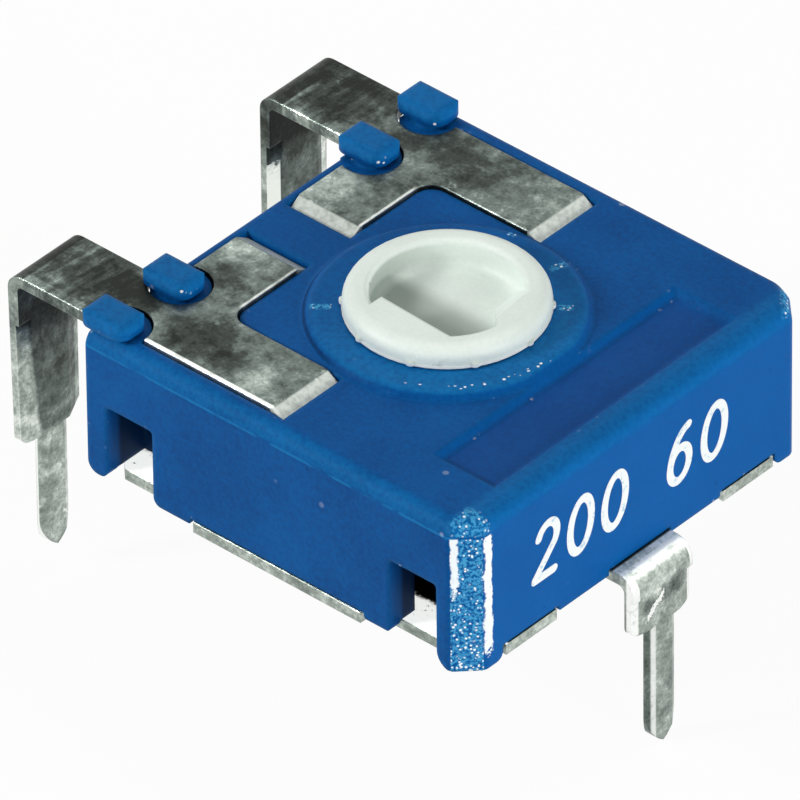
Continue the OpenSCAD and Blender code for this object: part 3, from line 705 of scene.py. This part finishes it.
@dataclass(frozen=True)
class TinnedTerminals(TinBase):
    """Hot-tinned sheet of the outer terminals.

    It is smudged dark round the stakes and streaked across the tabs where it was bent. Painted
    highlights brighten its ends, its rounded edges, the tabs' edges and the legs' bevels, a painted
    reflection lies low on the right leg, and painted shade darkens the legs high under the tabs.
    """

    # Painted highlight colour of the rounded edges and of the painted reflection on the right leg.
    highlight_tin: Colour = (0.86, 0.90, 0.84)
    # Painted highlight colour of the arms' end slopes.
    nose_highlight: Colour = (0.66, 0.71, 0.65)
    level: float = 0.40
    roughness: float = 0.34
    relief_mm: float = 0.012
    edge_mm: float = 0.07
    sheet_top: float = 4.7
    nose_x: float = -0.7
    nose_y: float = 1.27
    leg_x: float = -9.3
    on_tab: Span = (-6.7, -7.1)
    on_left: Span = (-2.0, -3.0)
    on_right: Span = (2.0, 3.0)
    on_pin: Span = (-0.8, -1.3)
    face_on: Span = (0.5, 0.9)
    streak_share: float = 0.85
    bright_edge_lift: float = 0.18
    strip_highlight_lift: float = 0.36
    tab_rim_highlight: float = 0.16
    smudges: tuple[Smudge, ...] = (
        Smudge(-5.45, -2.8, 0.75, -0.24),
        Smudge(-6.4, -4.9, 0.95, -0.26),
        Smudge(-4.0, -5.0, 1.1, -0.26),
        Smudge(-2.9, -5.4, 0.7, -0.16),
        Smudge(-0.9, -5.3, 0.6, -0.12),
        Smudge(-8.0, -4.9, 1.8, -0.24),
        Smudge(-9.8, -4.9, 1.3, -0.14, z=2.4),
        Smudge(-9.8, -4.6, 0.8, -0.12, z=0.8),
        Smudge(-1.9, -5.55, 0.8, 0.17),
        Smudge(-5.5, -1.6, 1.2, 0.13),
        Smudge(-8.2, 5.4, 1.7, -0.30),
        Smudge(-5.9, 4.75, 0.7, -0.22),
        Smudge(-4.2, 5.1, 0.95, -0.22),
        Smudge(-3.2, 4.7, 0.6, -0.18),
        Smudge(-8.6, 4.0, 0.5, 0.16),
        Smudge(-7.0, 4.5, 0.5, 0.14),
        Smudge(-6.0, 2.2, 1.5, 0.17),
        Smudge(-1.4, 5.0, 1.5, 0.12),
        Smudge(-3.8, 6.0, 0.5, 0.12),
    )

    def material(self) -> bpy.types.Material:
        """Returns the terminals' material."""
        tree = Tree("tinned_terminals")
        clouds = self.clouds(tree)
        soft = tree.soft_normal(self.edge_mm)
        leg = tree.x.rise(self.leg_x, self.leg_x - 0.1)
        inner = leg * tree.toward(FRONT).rise(*self.face_on)
        tone = self.smudged(tree, clouds + self.level, self.smudges)
        tone = self._streaks_and_painted_light(tree, tone, leg, inner, soft)
        # Painted reflection low on the right leg.
        reflected = self._painted_reflection(tree) * inner
        # Painted highlights on the arms' end slopes.
        nose = self._painted_nose_light(tree)
        dents = tree.specks(1.7, 0.1) * tree.noise(6.0, 2.0).rise(0.5, 0.6)
        colour = tree.layered(
            self.tin(tree, tone.most(0.0) + dents * 0.25),
            # Painted highlights on the rounded edges and the painted reflection.
            (self._highlight_lines(tree).most(reflected), self.highlight_tin),
            (nose, self.nose_highlight),
        )
        height = clouds * 0.8 + tree.noise(7.0, 3.0, 0.7) * 0.4
        return tree.finish(
            Base_Color=colour,
            Metallic=1 - nose.rise(0.0, 0.2) * 0.75,
            Roughness=(tone * -0.2 + self.roughness + 0.08) - reflected * 0.15,
            Normal=tree.relief(height, self.relief_mm, soft),
        )

    def _streaks_and_painted_light(
        self, tree: Tree, tone: Signal, leg: Signal, inner: Signal, soft: Signal
    ) -> Signal:
        """Returns the tone with streaks where the tabs were bent, lighter pins, and painted light
        and shade.

        Args:
            tree: the material's nodes.
            tone: the tone without it.
            leg, inner: 1 on the legs, and on their faces toward the housing.
            soft: the rounded normal.
        """
        x, y, z = tree.x, tree.y, tree.z
        left = y.rise(*self.on_left)
        pin = z.rise(*self.on_pin)
        streaks = self._streaks(tree) * x.rise(*self.on_tab) * (1 - leg)
        tone = tone + streaks * self.streak_share
        # Painted shade: the legs darker toward their tops, under the tabs.
        tone = tone - leg * (z.rise(1.6, 3.2) * 0.18 + z.rise(2.6, 3.0) * 0.10)
        tone = tone + leg * pin * (left * 0.24 + 0.08)
        # Painted light: leg faces turned to the left are lighter.
        side = tree.toward(LEFT).rise(*self.face_on) * leg
        tone = tone + side * (left * 0.22 + 0.24)
        # Painted highlights on every edge and on the legs' bevel strips.
        tone = tone + tree.edges(soft) * self.bright_edge_lift
        tone = tone + self._strips(tree) * inner * (1 - pin) * self.strip_highlight_lift
        # Painted shade high on the right leg's inner face.
        tone = tone - inner * y.rise(*self.on_right) * z.rise(2.4, 3.0) * 0.12
        # Painted highlight along the tabs' edges.
        rim = y.band(3.78, 0.12, 0.12).most(y.band(-6.2, 0.1, 0.12))
        return tone + rim * x.rise(-6.9, -7.3) * (1 - leg) * self.tab_rim_highlight

    def _streaks(self, tree: Tree) -> Signal:
        """Returns streaks along Y, across the tabs, from about -0.3 to 0.3."""
        drawn = tree.stretched(4.0, (4.8, 0.6, 1.0))
        return tree.noise(1.0, 3.0, 0.6, drawn) - 0.5

    def _strips(self, tree: Tree) -> Signal:
        """Returns the bevelled edge strips down the legs that get painted highlights, wider towards
        the shoulders.
        """
        y, z = tree.y, tree.z
        inner_edge = z * -0.1 - 5.68
        left = (y - inner_edge).rise(0.12, -0.05) * y.rise(*self.on_left)
        left = left * z.rise(3.0, 2.7)
        right = y.band(3.62, 0.2, 0.1).most(y.band(6.12, 0.1, 0.06) * 1.3)
        return left.most(right, y.band(-3.98, 0.1, 0.06) * 0.6)

    def _painted_reflection(self, tree: Tree) -> Signal:
        """Returns the painted reflection: a bright patch low on the right terminal's leg."""
        ragged = tree.noise(4.0, 2.0) * 0.5
        top = (tree.z * -1.0 + 2.35 + ragged).rise(0.2, 0.3)
        return tree.y.band(4.03, 0.28, 0.03) * top * tree.z.rise(-0.2, 0.1)

    def _painted_nose_light(self, tree: Tree) -> Signal:
        """Returns the painted highlights on the slopes at the arms' ends."""
        worn = tree.noise(5.0, 3.0, 0.6).rise(0.25, 0.65) * 0.4 + 0.5
        slope = tree.z.rise(self.sheet_top - 0.01, self.sheet_top - 0.05)
        long_end = tree.x.rise(self.nose_x - 0.02, self.nose_x + 0.02)
        short_end = tree.y.band(0.9, self.nose_y - 0.9, 0.03)
        left_end = tree.y.band(-0.9, self.nose_y - 0.9, 0.03)
        return long_end.most(short_end, left_end) * slope * worn

    def _highlight_lines(self, tree: Tree) -> Signal:
        """Returns the painted highlights on the rounded edges: the long arm's outer one, the short
        arm's front.
        """
        broken = tree.noise(2.0, 3.0).rise(0.25, 0.55) * 0.5 + 0.35
        high = tree.z.rise(self.sheet_top - 0.2, self.sheet_top - 0.1)
        outer = tree.y.band(-6.14, 0.045, 0.05) * tree.x.rise(-5.6, -5.2)
        front = tree.x.band(-4.19, 0.03, 0.04) * tree.y.size().rise(3.6, 3.3) * 0.7
        return outer.most(front) * high * broken


@dataclass(frozen=True)
class TinnedPlate(TinBase):
    """Hot-tinned sheet of the collector plate and the middle terminal.

    It is cleaner than the outer terminals, with a crease near the shoulders. Where the windows show
    it, painted light makes it dull white and glowing, with painted shade just inside; painted
    highlights brighten the bevels, the crease's ridge and the bend by the wall, and painted shade
    darkens the leg's left side, the pin's left bevel and the crease's flanks.
    """

    level: float = 0.73
    roughness: float = 0.34
    relief_mm: float = 0.010
    edge_mm: float = 0.06
    leg_x: float = 7.3
    front_x: float = 6.7
    on_pin: Span = (-1.75, -1.85)
    side_shade: float = 0.2
    bevel_shade: float = 0.25
    crease_shade: float = 0.3
    near_highlight: float = 0.16
    inside_shade: float = 0.6
    # Painted light colours: dull white for the windows and bright bevels, and the windows' glow.
    white: Colour = (0.93, 0.95, 0.92)
    painted_glow: Colour = (0.80, 0.82, 0.79)
    smudges: tuple[Smudge, ...] = (
        Smudge(7.5, -0.55, 0.34, -0.26, z=-0.95),
        Smudge(7.5, 0.15, 0.36, -0.20, z=-0.85),
        Smudge(7.5, 0.62, 0.42, -0.30, z=-0.80),
        Smudge(7.5, 0.35, 0.5, -0.10, z=-3.9),
        Smudge(7.5, 0.05, 0.3, -0.12, z=-4.9),
    )

    def material(self) -> bpy.types.Material:
        """Returns the plate's material."""
        tree = Tree("tinned_plate")
        x, y, z = tree.x, tree.y, tree.z
        leg = x.rise(self.front_x, self.front_x + 0.1)
        pin = z.rise(*self.on_pin)
        face = tree.toward(FRONT).rise(0.3, 0.7) * leg
        side = tree.toward(LEFT).rise(0.5, 0.9) * leg
        flat = tree.toward(UP).rise(0.5, 0.9)
        crease = self._crease(tree) * x.rise(self.leg_x, self.leg_x + 0.1)
        near = x.band(6.75, 0.25, 0.25) * z.rise(-0.5, -0.3) * leg
        ragged = y.size() + (tree.noise(4.0, 3.0, 0.7) - 0.5) * 0.5
        clouds = self.clouds(tree, 1.5) * 0.75
        tone = self.smudged(tree, clouds + self.level, self.smudges)
        # Painted highlight on the bend's outer rounding.
        tone = tone + x.band(7.2, 0.12, 0.12) * z.rise(-0.4, -0.2) * 0.2
        # Painted shade on the leg's left side.
        tone = tone - side * self.side_shade
        # Painted shade on the pin's left bevel.
        tone = tone - y.rise(-0.42, -0.48) * pin * face * self.bevel_shade
        # Painted shade beside the crease's ridge.
        tone = tone - crease.rise(0.02, 0.3) * self.crease_shade
        # Painted highlight on the bend by the wall.
        tone = tone + near * self.near_highlight
        # Painted shade on the plate's top, inward of what the windows show.
        tone = tone - flat * (1 - leg) * ragged.rise(5.35, 5.1) * self.inside_shade
        # Painted highlights: the bevel strips and the crease's ridge.
        bright = self._strips(tree, pin, face, side).most(crease.rise(0.35, 0.6))
        bright = bright * (tree.noise(6.0, 3.0, 0.7).rise(0.2, 0.5) * 0.5 + 0.5)
        # Painted light: the plate seen through the windows is dull white and glows.
        window_light = ragged.rise(5.2, 5.4) * x.size().rise(3.0, 3.2) * flat
        flecks = tree.noise(8.0, 3.0, 0.7).rise(0.62, 0.68) * 0.8
        white = window_light * (1 - flecks)
        height = clouds * 0.7 + crease * 0.8 + tree.noise(8.0, 3.0, 0.7) * 0.4
        soft = tree.soft_normal(self.edge_mm)
        return tree.finish(
            Base_Color=tree.blend(bright.most(white), self.tin(tree, tone), self.white),
            Metallic=1 - (window_light * 0.9).most(near * 0.85),
            # Painted glow in the windows, though the plate is no lamp.
            Emission_Color=tree.blend(white, (0.0, 0.0, 0.0), self.painted_glow),
            Emission_Strength=1.0,
            Roughness=tone * -0.15 + self.roughness + 0.12 + window_light * 0.2,
            Normal=tree.relief(height, self.relief_mm, soft),
        )

    @staticmethod
    def _strips(tree: Tree, pin: Signal, face: Signal, side: Signal) -> Signal:
        """Returns the painted highlights on the bevels down the middle terminal's face and left
        side.
        """
        strips = tree.y.band(-1.08, 0.13, 0.05).most(tree.y.band(1.13, 0.05, 0.04))
        strips = strips * (1 - pin)
        strips = strips.most(tree.y.band(-0.375, 0.04, 0.06) * pin * 0.75) * face
        return strips.most(tree.x.rise(7.2, 7.28) * side * (1 - pin))

    @staticmethod
    def _crease(tree: Tree) -> Signal:
        """Returns a ridge, 1 at its heart, from low on the left shoulder up to the middle.

        Its line is z + 1.11 = 0.78 * (y + 0.3), for y from -0.64 to 0.05.
        """
        ragged = (tree.noise(6.0, 3.0, 0.7) - 0.5) * 0.6
        off = (tree.z + 1.11) - (tree.y + 0.3) * 0.78 + ragged
        return off.size().rise(0.2, 0.04) * tree.y.band(-0.3, 0.3, 0.08)


@dataclass(frozen=True)
class PlainFinish:
    """A finish of two tones that follow one noise, stretched or not, perhaps with a relief.

    Its noise is given by the patches in a millimetre, the detail and the roughness.
    """

    name: str
    dark: Colour
    light: Colour
    tones: Span
    noise: Triple
    roughness: float
    relief_mm: float = 0.0
    edge_mm: float = 0.0
    metallic: float = 0.0
    turn_deg: float = 0.0
    stretch: Triple | None = None

    def material(self) -> bpy.types.Material:
        """Returns the material."""
        tree = Tree(self.name)
        point = None
        if self.stretch:
            point = tree.stretched(self.turn_deg, self.stretch)
        grain = tree.noise(*self.noise, point)
        colour = tree.blend(grain.rise(*self.tones), self.dark, self.light)
        inputs = {"Roughness": grain * 0.2 + self.roughness}
        if self.relief_mm:
            soft = tree.soft_normal(self.edge_mm)
            inputs["Normal"] = tree.relief(grain, self.relief_mm, soft)
        return tree.finish(Base_Color=colour, Metallic=self.metallic, **inputs)


class Finish(Enum):
    """The finish of each CAD node, and the digits' ink."""

    HOUSING = BlueMoulding()
    ROTOR = PaleMoulding()
    TERMINALS = TinnedTerminals()
    PLATE = TinnedPlate()
    WIPER = PlainFinish(
        "spring_bronze",
        dark=(0.42, 0.22, 0.08),
        light=(0.78, 0.52, 0.26),
        tones=(0.3, 0.7),
        noise=(1.0, 3.0, 0.5),
        roughness=0.3,
        relief_mm=0.003,
        edge_mm=0.03,
        metallic=1.0,
        stretch=(0.6, 9.0, 2.0),
    )
    ELEMENT = PlainFinish(
        "paper_laminate",
        dark=(0.12, 0.055, 0.022),
        light=(0.30, 0.15, 0.065),
        tones=(0.3, 0.7),
        noise=(1.0, 4.0, 0.7),
        roughness=0.55,
        relief_mm=0.006,
        edge_mm=0.04,
        turn_deg=15.0,
        stretch=(1.5, 7.0, 7.0),
    )
    TRACK = PlainFinish(
        "carbon_print",
        dark=(0.008, 0.008, 0.009),
        light=(0.04, 0.04, 0.045),
        tones=(0.35, 0.7),
        noise=(14.0, 3.0, 0.7),
        roughness=0.5,
        relief_mm=0.004,
        edge_mm=0.02,
    )
    INK = PlainFinish(
        "white_ink",
        dark=(0.45, 0.62, 0.74),
        light=(0.86, 0.90, 0.90),
        tones=(0.28, 0.44),
        noise=(5.0, 3.0, 0.6),
        roughness=0.5,
    )


# ---- Printed digits ----


@dataclass
class Line:
    """A straight pen stroke of a digit, whose box runs from 0 to 1 across and up."""

    start: Span
    end: Span
    closed: bool = False

    def path(self, count: int) -> np.ndarray:
        """Returns points along the line: the start plus even shares of the way to the end."""
        share = np.linspace(0.0, 1.0, count)[:, None]
        start, end = np.array(self.start), np.array(self.end)
        return start + share * (end - start)


@dataclass
class Arc:
    """A pen stroke along an ellipse in the same box, between two turns."""

    centre: Span
    radii: Span
    turn_deg: Span = (0.0, 360.0)

    @property
    def closed(self) -> bool:
        """Tells whether the stroke is a whole oval."""
        return abs(self.turn_deg[1] - self.turn_deg[0]) >= 360

    def path(self, count: int) -> np.ndarray:
        """Returns points along the arc: the centre plus radii times each turn's cosine and sine."""
        share = np.linspace(0.0, 1.0, count, endpoint=not self.closed)
        low, high = np.radians(self.turn_deg)
        angle = low + share * (high - low)
        ring = np.stack((np.cos(angle), np.sin(angle)), axis=1)
        return np.array(self.centre) + ring * np.array(self.radii)


DIGIT_STROKES: dict[str, list[Line | Arc]] = {
    "0": [Arc((0.5, 0.5), (0.5, 0.5))],
    "2": [
        Arc((0.5, 0.72), (0.45, 0.28), (165, -35)),
        Line((0.87, 0.56), (0.05, 0.02)),
        Line((0.05, 0.0), (0.98, 0.0)),
    ],
    "6": [Arc((0.5, 0.32), (0.46, 0.32)), Arc((0.88, 0.32), (0.84, 0.70), (180, 98))],
}


@dataclass
class PrintedDigits:
    """Plain white digits on the housing's front wall."""

    text_groups: tuple[tuple[str, float], ...] = (("200", -2.35), ("60", 2.3))
    digit_h: float = 1.62
    digit_w: float = 0.82
    pitch: float = 1.36
    pen_w: float = 0.26
    middle_z: float = 2.35
    slant_deg: float = 7.0
    ink_t: float = 0.010
    ink_step: float = 0.002
    samples: int = 48
    end_turns_deg: Span = (4.0, 80.0)
    end_samples: int = 8

    def build(self, wall_x: float) -> bpy.types.Object:
        """Builds all digits as one piece.

        Args:
            wall_x: the front wall's place along X, in millimetres.

        Returns:
            The piece, dressed in ink.
        """
        parts = [
            self._ribbon(
                stroke,
                centre_y + (i - (len(text) - 1) / 2) * self.pitch,
                self.ink_t + self.ink_step * layer,
            )
            for text, centre_y in self.text_groups
            for i, digit in enumerate(text)
            for layer, stroke in enumerate(DIGIT_STROKES[digit])
        ]
        points, faces, offset = [], [], 0
        for corners, quads in parts:
            points.append(corners)
            faces.extend((quads + offset).tolist())
            offset += len(corners)
        flat = np.concatenate(points)
        place = np.stack((flat[:, 2] + wall_x, flat[:, 0], flat[:, 1]), axis=1) * MM
        mesh = bpy.data.meshes.new("printed_digits")
        mesh.from_pydata(place.tolist(), [], faces)
        mesh.validate()
        piece = bpy.data.objects.new("printed_digits", mesh)
        bpy.context.scene.collection.objects.link(piece)
        mesh.materials.append(Finish.INK.value.material())
        return piece

    def _ribbon(
        self, stroke: Line | Arc, centre_y: float, ink_t: float
    ) -> tuple[np.ndarray, np.ndarray]:
        """Carries a flat rectangular section along a stroke.

        Each point of the path gives four corners: half the pen's width to either side of the
        path, in the wall and at the ink's surface. Open ends narrow as a half circle does.

        Args:
            stroke: the stroke.
            centre_y: the middle of its digit along Y.
            ink_t: the ink's thickness, a little more for each stroke that crosses another.

        Returns:
            The corners as (across, up, out), in millimetres, and the faces' indices.
        """
        path = stroke.path(self.samples) - 0.5
        path = path * np.array((self.digit_w, self.digit_h))
        half = np.full(len(path), self.pen_w / 2)
        if not stroke.closed:
            path, half = self._round_ends(path)
        ahead = np.roll(path, -1, axis=0) - np.roll(path, 1, axis=0)
        if not stroke.closed:
            ahead[0], ahead[-1] = path[1] - path[0], path[-1] - path[-2]
        ahead /= np.linalg.norm(ahead, axis=1)[:, None]
        side = np.stack((-ahead[:, 1], ahead[:, 0]), axis=1) * half[:, None]
        flat = np.stack((path + side, path + side, path - side, path - side), axis=1)
        out = np.array((-ink_t, ink_t, ink_t, -ink_t))
        lean = flat[..., 1] * math.tan(math.radians(self.slant_deg))
        grid = np.stack(
            (
                flat[..., 0] + lean + centre_y,
                flat[..., 1] + self.middle_z,
                np.broadcast_to(out, flat.shape[:2]),
            ),
            axis=2,
        )
        return grid.reshape(-1, 3), self._quads(len(grid), stroke.closed)

    @staticmethod
    def _quads(count: int, closed: bool) -> np.ndarray:
        """Returns four corner numbers for each face between sections, and for open ends."""
        section = np.arange(count if closed else count - 1)[:, None]
        here, ahead = section * 4, (section + 1) % count * 4
        corner = np.arange(4)[None, :]
        beside = (corner + 1) % 4
        quads = (here + corner, ahead + corner, ahead + beside, here + beside)
        quads = np.stack(quads, axis=2).reshape(-1, 4)
        if closed:
            return quads
        first = np.array([[0, 1, 2, 3]])
        final = first[:, ::-1] + (count - 1) * 4
        return np.concatenate((quads, first, final))

    def _round_ends(self, path: np.ndarray) -> tuple[np.ndarray, np.ndarray]:
        """Adds a half circle at both ends of an open path.

        The added points go on straight by half the pen's width, less its cosine share, and the
        half width there is the circle's chord.
        """
        radius = self.pen_w / 2
        turn = np.radians(np.linspace(*self.end_turns_deg, self.end_samples))
        reach = np.cos(turn)[:, None] * radius
        first = (path[0] - path[1]) / np.linalg.norm(path[0] - path[1])
        final = (path[-1] - path[-2]) / np.linalg.norm(path[-1] - path[-2])
        chord = np.sin(turn) * radius
        longer = np.concatenate(
            (path[0] + first * reach, path, (path[-1] + final * reach)[::-1])
        )
        half = np.concatenate((chord, np.full(len(path), radius), chord[::-1]))
        return longer, half


# ---- Studio ----


@dataclass
class Lamp:
    """A square lamp: its direction from the part, its level on a facing surface and its size."""

    name: str
    direction: Triple
    level: float
    size: float


@dataclass
class Studio:
    """Pale floor, soft lamps and a bright surround."""

    floor_half: float = 400.0
    floor_colour: Colour = (0.92, 0.92, 0.92)
    ambient: float = 0.21
    glow: float = 0.93
    lamps: tuple[Lamp, ...] = (
        Lamp("front_lamp", (0.95, -0.02, 0.24), 0.60, 160.0),
        Lamp("left_lamp", (-0.50, -0.72, 0.46), 0.64, 90.0),
        Lamp("top_lamp", (0.10, 0.30, 0.95), 0.15, 160.0),
        Lamp("right_lamp", (0.42, 0.62, 0.60), 0.05, 110.0),
        Lamp("rear_lamp", (-0.70, 0.40, 0.55), 0.10, 160.0),
    )
    lamp_far: float = 420.0

    def build(self, floor_z: float) -> None:
        """Makes the floor at this height in millimetres, the lamps and the world."""
        self._floor(floor_z)
        for lamp in self.lamps:
            self._light(lamp)
        self._world()

    def _floor(self, floor_z: float) -> None:
        """Makes the floor: a square in the plane z = floor_z."""
        r = self.floor_half
        corners = np.array([(-r, -r), (r, -r), (r, r), (-r, r)])
        place = np.column_stack((corners, np.full(4, floor_z))) * MM
        mesh = bpy.data.meshes.new("floor")
        mesh.from_pydata(place.tolist(), [], [(0, 1, 2, 3)])
        floor = bpy.data.objects.new("floor", mesh)
        bpy.context.scene.collection.objects.link(floor)
        tree = Tree("pale_floor")
        share = tree.seen() * self.glow
        diffuse = tree.node("ShaderNodeBsdfDiffuse", inputs={"Color": self.floor_colour})
        glow = tree.node("ShaderNodeEmission", inputs={"Color": (1, 1, 1)})
        surface = tree.node("ShaderNodeMixShader", inputs={0: share, 1: diffuse, 2: glow})
        tree.node("ShaderNodeOutputMaterial", inputs={"Surface": surface})
        mesh.materials.append(tree.owner)

    def _light(self, lamp: Lamp) -> None:
        """Makes a lamp, with the energy that gives a facing surface its level, 1 being full."""
        light = bpy.data.lights.new(lamp.name, "AREA")
        light.shape = "SQUARE"
        light.size = lamp.size * MM
        far = self.lamp_far * MM
        light.energy = lamp.level * math.pi**2 * far**2
        holder = bpy.data.objects.new(lamp.name, light)
        bpy.context.scene.collection.objects.link(holder)
        away = Vector(lamp.direction).normalized()
        holder.location = away * far
        holder.rotation_mode = "QUATERNION"
        holder.rotation_quaternion = away.to_track_quat("Z", "Y")

    def _world(self) -> None:
        """Makes the surround: white to the camera and in reflections, softer as light."""
        tree = Tree("surround", world=True)
        bpy.context.scene.world = tree.owner
        strength = tree.node(
            "ShaderNodeMapRange", inputs={"Value": tree.seen(), "To Min": self.ambient}
        )
        background = tree.node(
            "ShaderNodeBackground", inputs={"Color": (1, 1, 1), "Strength": strength}
        )
        tree.node("ShaderNodeOutputWorld", inputs={"Surface": background})


@dataclass
class View:
    """The camera: far away with a long lens, looking down at the front left corner."""

    azimuth_deg: float = 41.827
    elevation_deg: float = 37.618
    roll_deg: float = 0.539
    distance: float = 500.0
    per_mm: float = 37.8077
    frame_px: float = 800.0
    aside_px: Span = (48.76, 51.67)
    sensor: float = 36.0
    clip_m: Span = (0.01, 5.0)

    def build(self) -> None:
        """Makes the scene's camera, which looks at the row's origin from its direction.

        The lens shows a millimetre there as per_mm of the frame's frame_px, and the shift moves
        the origin aside.
        """
        azimuth, elevation = map(math.radians, (self.azimuth_deg, self.elevation_deg))
        level = math.cos(elevation)
        back = Vector(
            (math.sin(azimuth) * level, -math.cos(azimuth) * level, math.sin(elevation))
        )
        data = bpy.data.cameras.new("camera")
        data.sensor_width = self.sensor
        data.lens = self.sensor * self.per_mm * self.distance / self.frame_px
        data.shift_x = -self.aside_px[0] / self.frame_px
        data.shift_y = self.aside_px[1] / self.frame_px
        data.clip_start, data.clip_end = self.clip_m
        camera = bpy.data.objects.new("camera", data)
        bpy.context.scene.collection.objects.link(camera)
        turn = (-back).to_track_quat("-Z", "Y").to_matrix().to_4x4()
        roll = Matrix.Rotation(-math.radians(self.roll_deg), 4, "Z")
        place = Matrix.Translation(back * self.distance * MM)
        camera.matrix_world = place @ turn @ roll
        bpy.context.scene.camera = camera


# ---- The part ----


FINISHES = {
    "housing": Finish.HOUSING,
    "rotor": Finish.ROTOR,
    "left_terminal": Finish.TERMINALS,
    "right_terminal": Finish.TERMINALS,
    "collector_plate": Finish.PLATE,
    "wiper": Finish.WIPER,
    "element": Finish.ELEMENT,
    "carbon_track": Finish.TRACK,
}


@dataclass
class Trimmer:
    """The whole part: its CAD nodes by name, and its printed digits."""

    nodes: dict[str, bpy.types.Object]

    def dress(self) -> None:
        """Gives each CAD node its finish."""
        made: dict[Finish, bpy.types.Material] = {}
        for name, finish in FINISHES.items():
            if finish not in made:
                made[finish] = finish.value.material()
            mesh = self.nodes[name].data
            mesh.materials.clear()
            mesh.materials.append(made[finish])
            LOG.info("%s: finish %s", name, made[finish].name)

    def print_digits(self) -> None:
        """Adds the digits to the front wall."""
        piece = PrintedDigits().build(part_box("housing")[1].x / MM)
        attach(piece, "base")
        LOG.info("%s: %d faces", piece.name, len(piece.data.polygons))


def main() -> None:
    """Dresses the part, adds its digits, and sets the studio and the camera."""
    logging.basicConfig(level=logging.INFO, format="%(message)s")
    bpy.context.scene.view_settings.view_transform = "Standard"
    trimmer = Trimmer(frame["nodes"])
    trimmer.dress()
    trimmer.print_digits()
    Studio().build(CAD_LOW.z / MM)
    View().build()


if __name__ == "__main__":
    main()
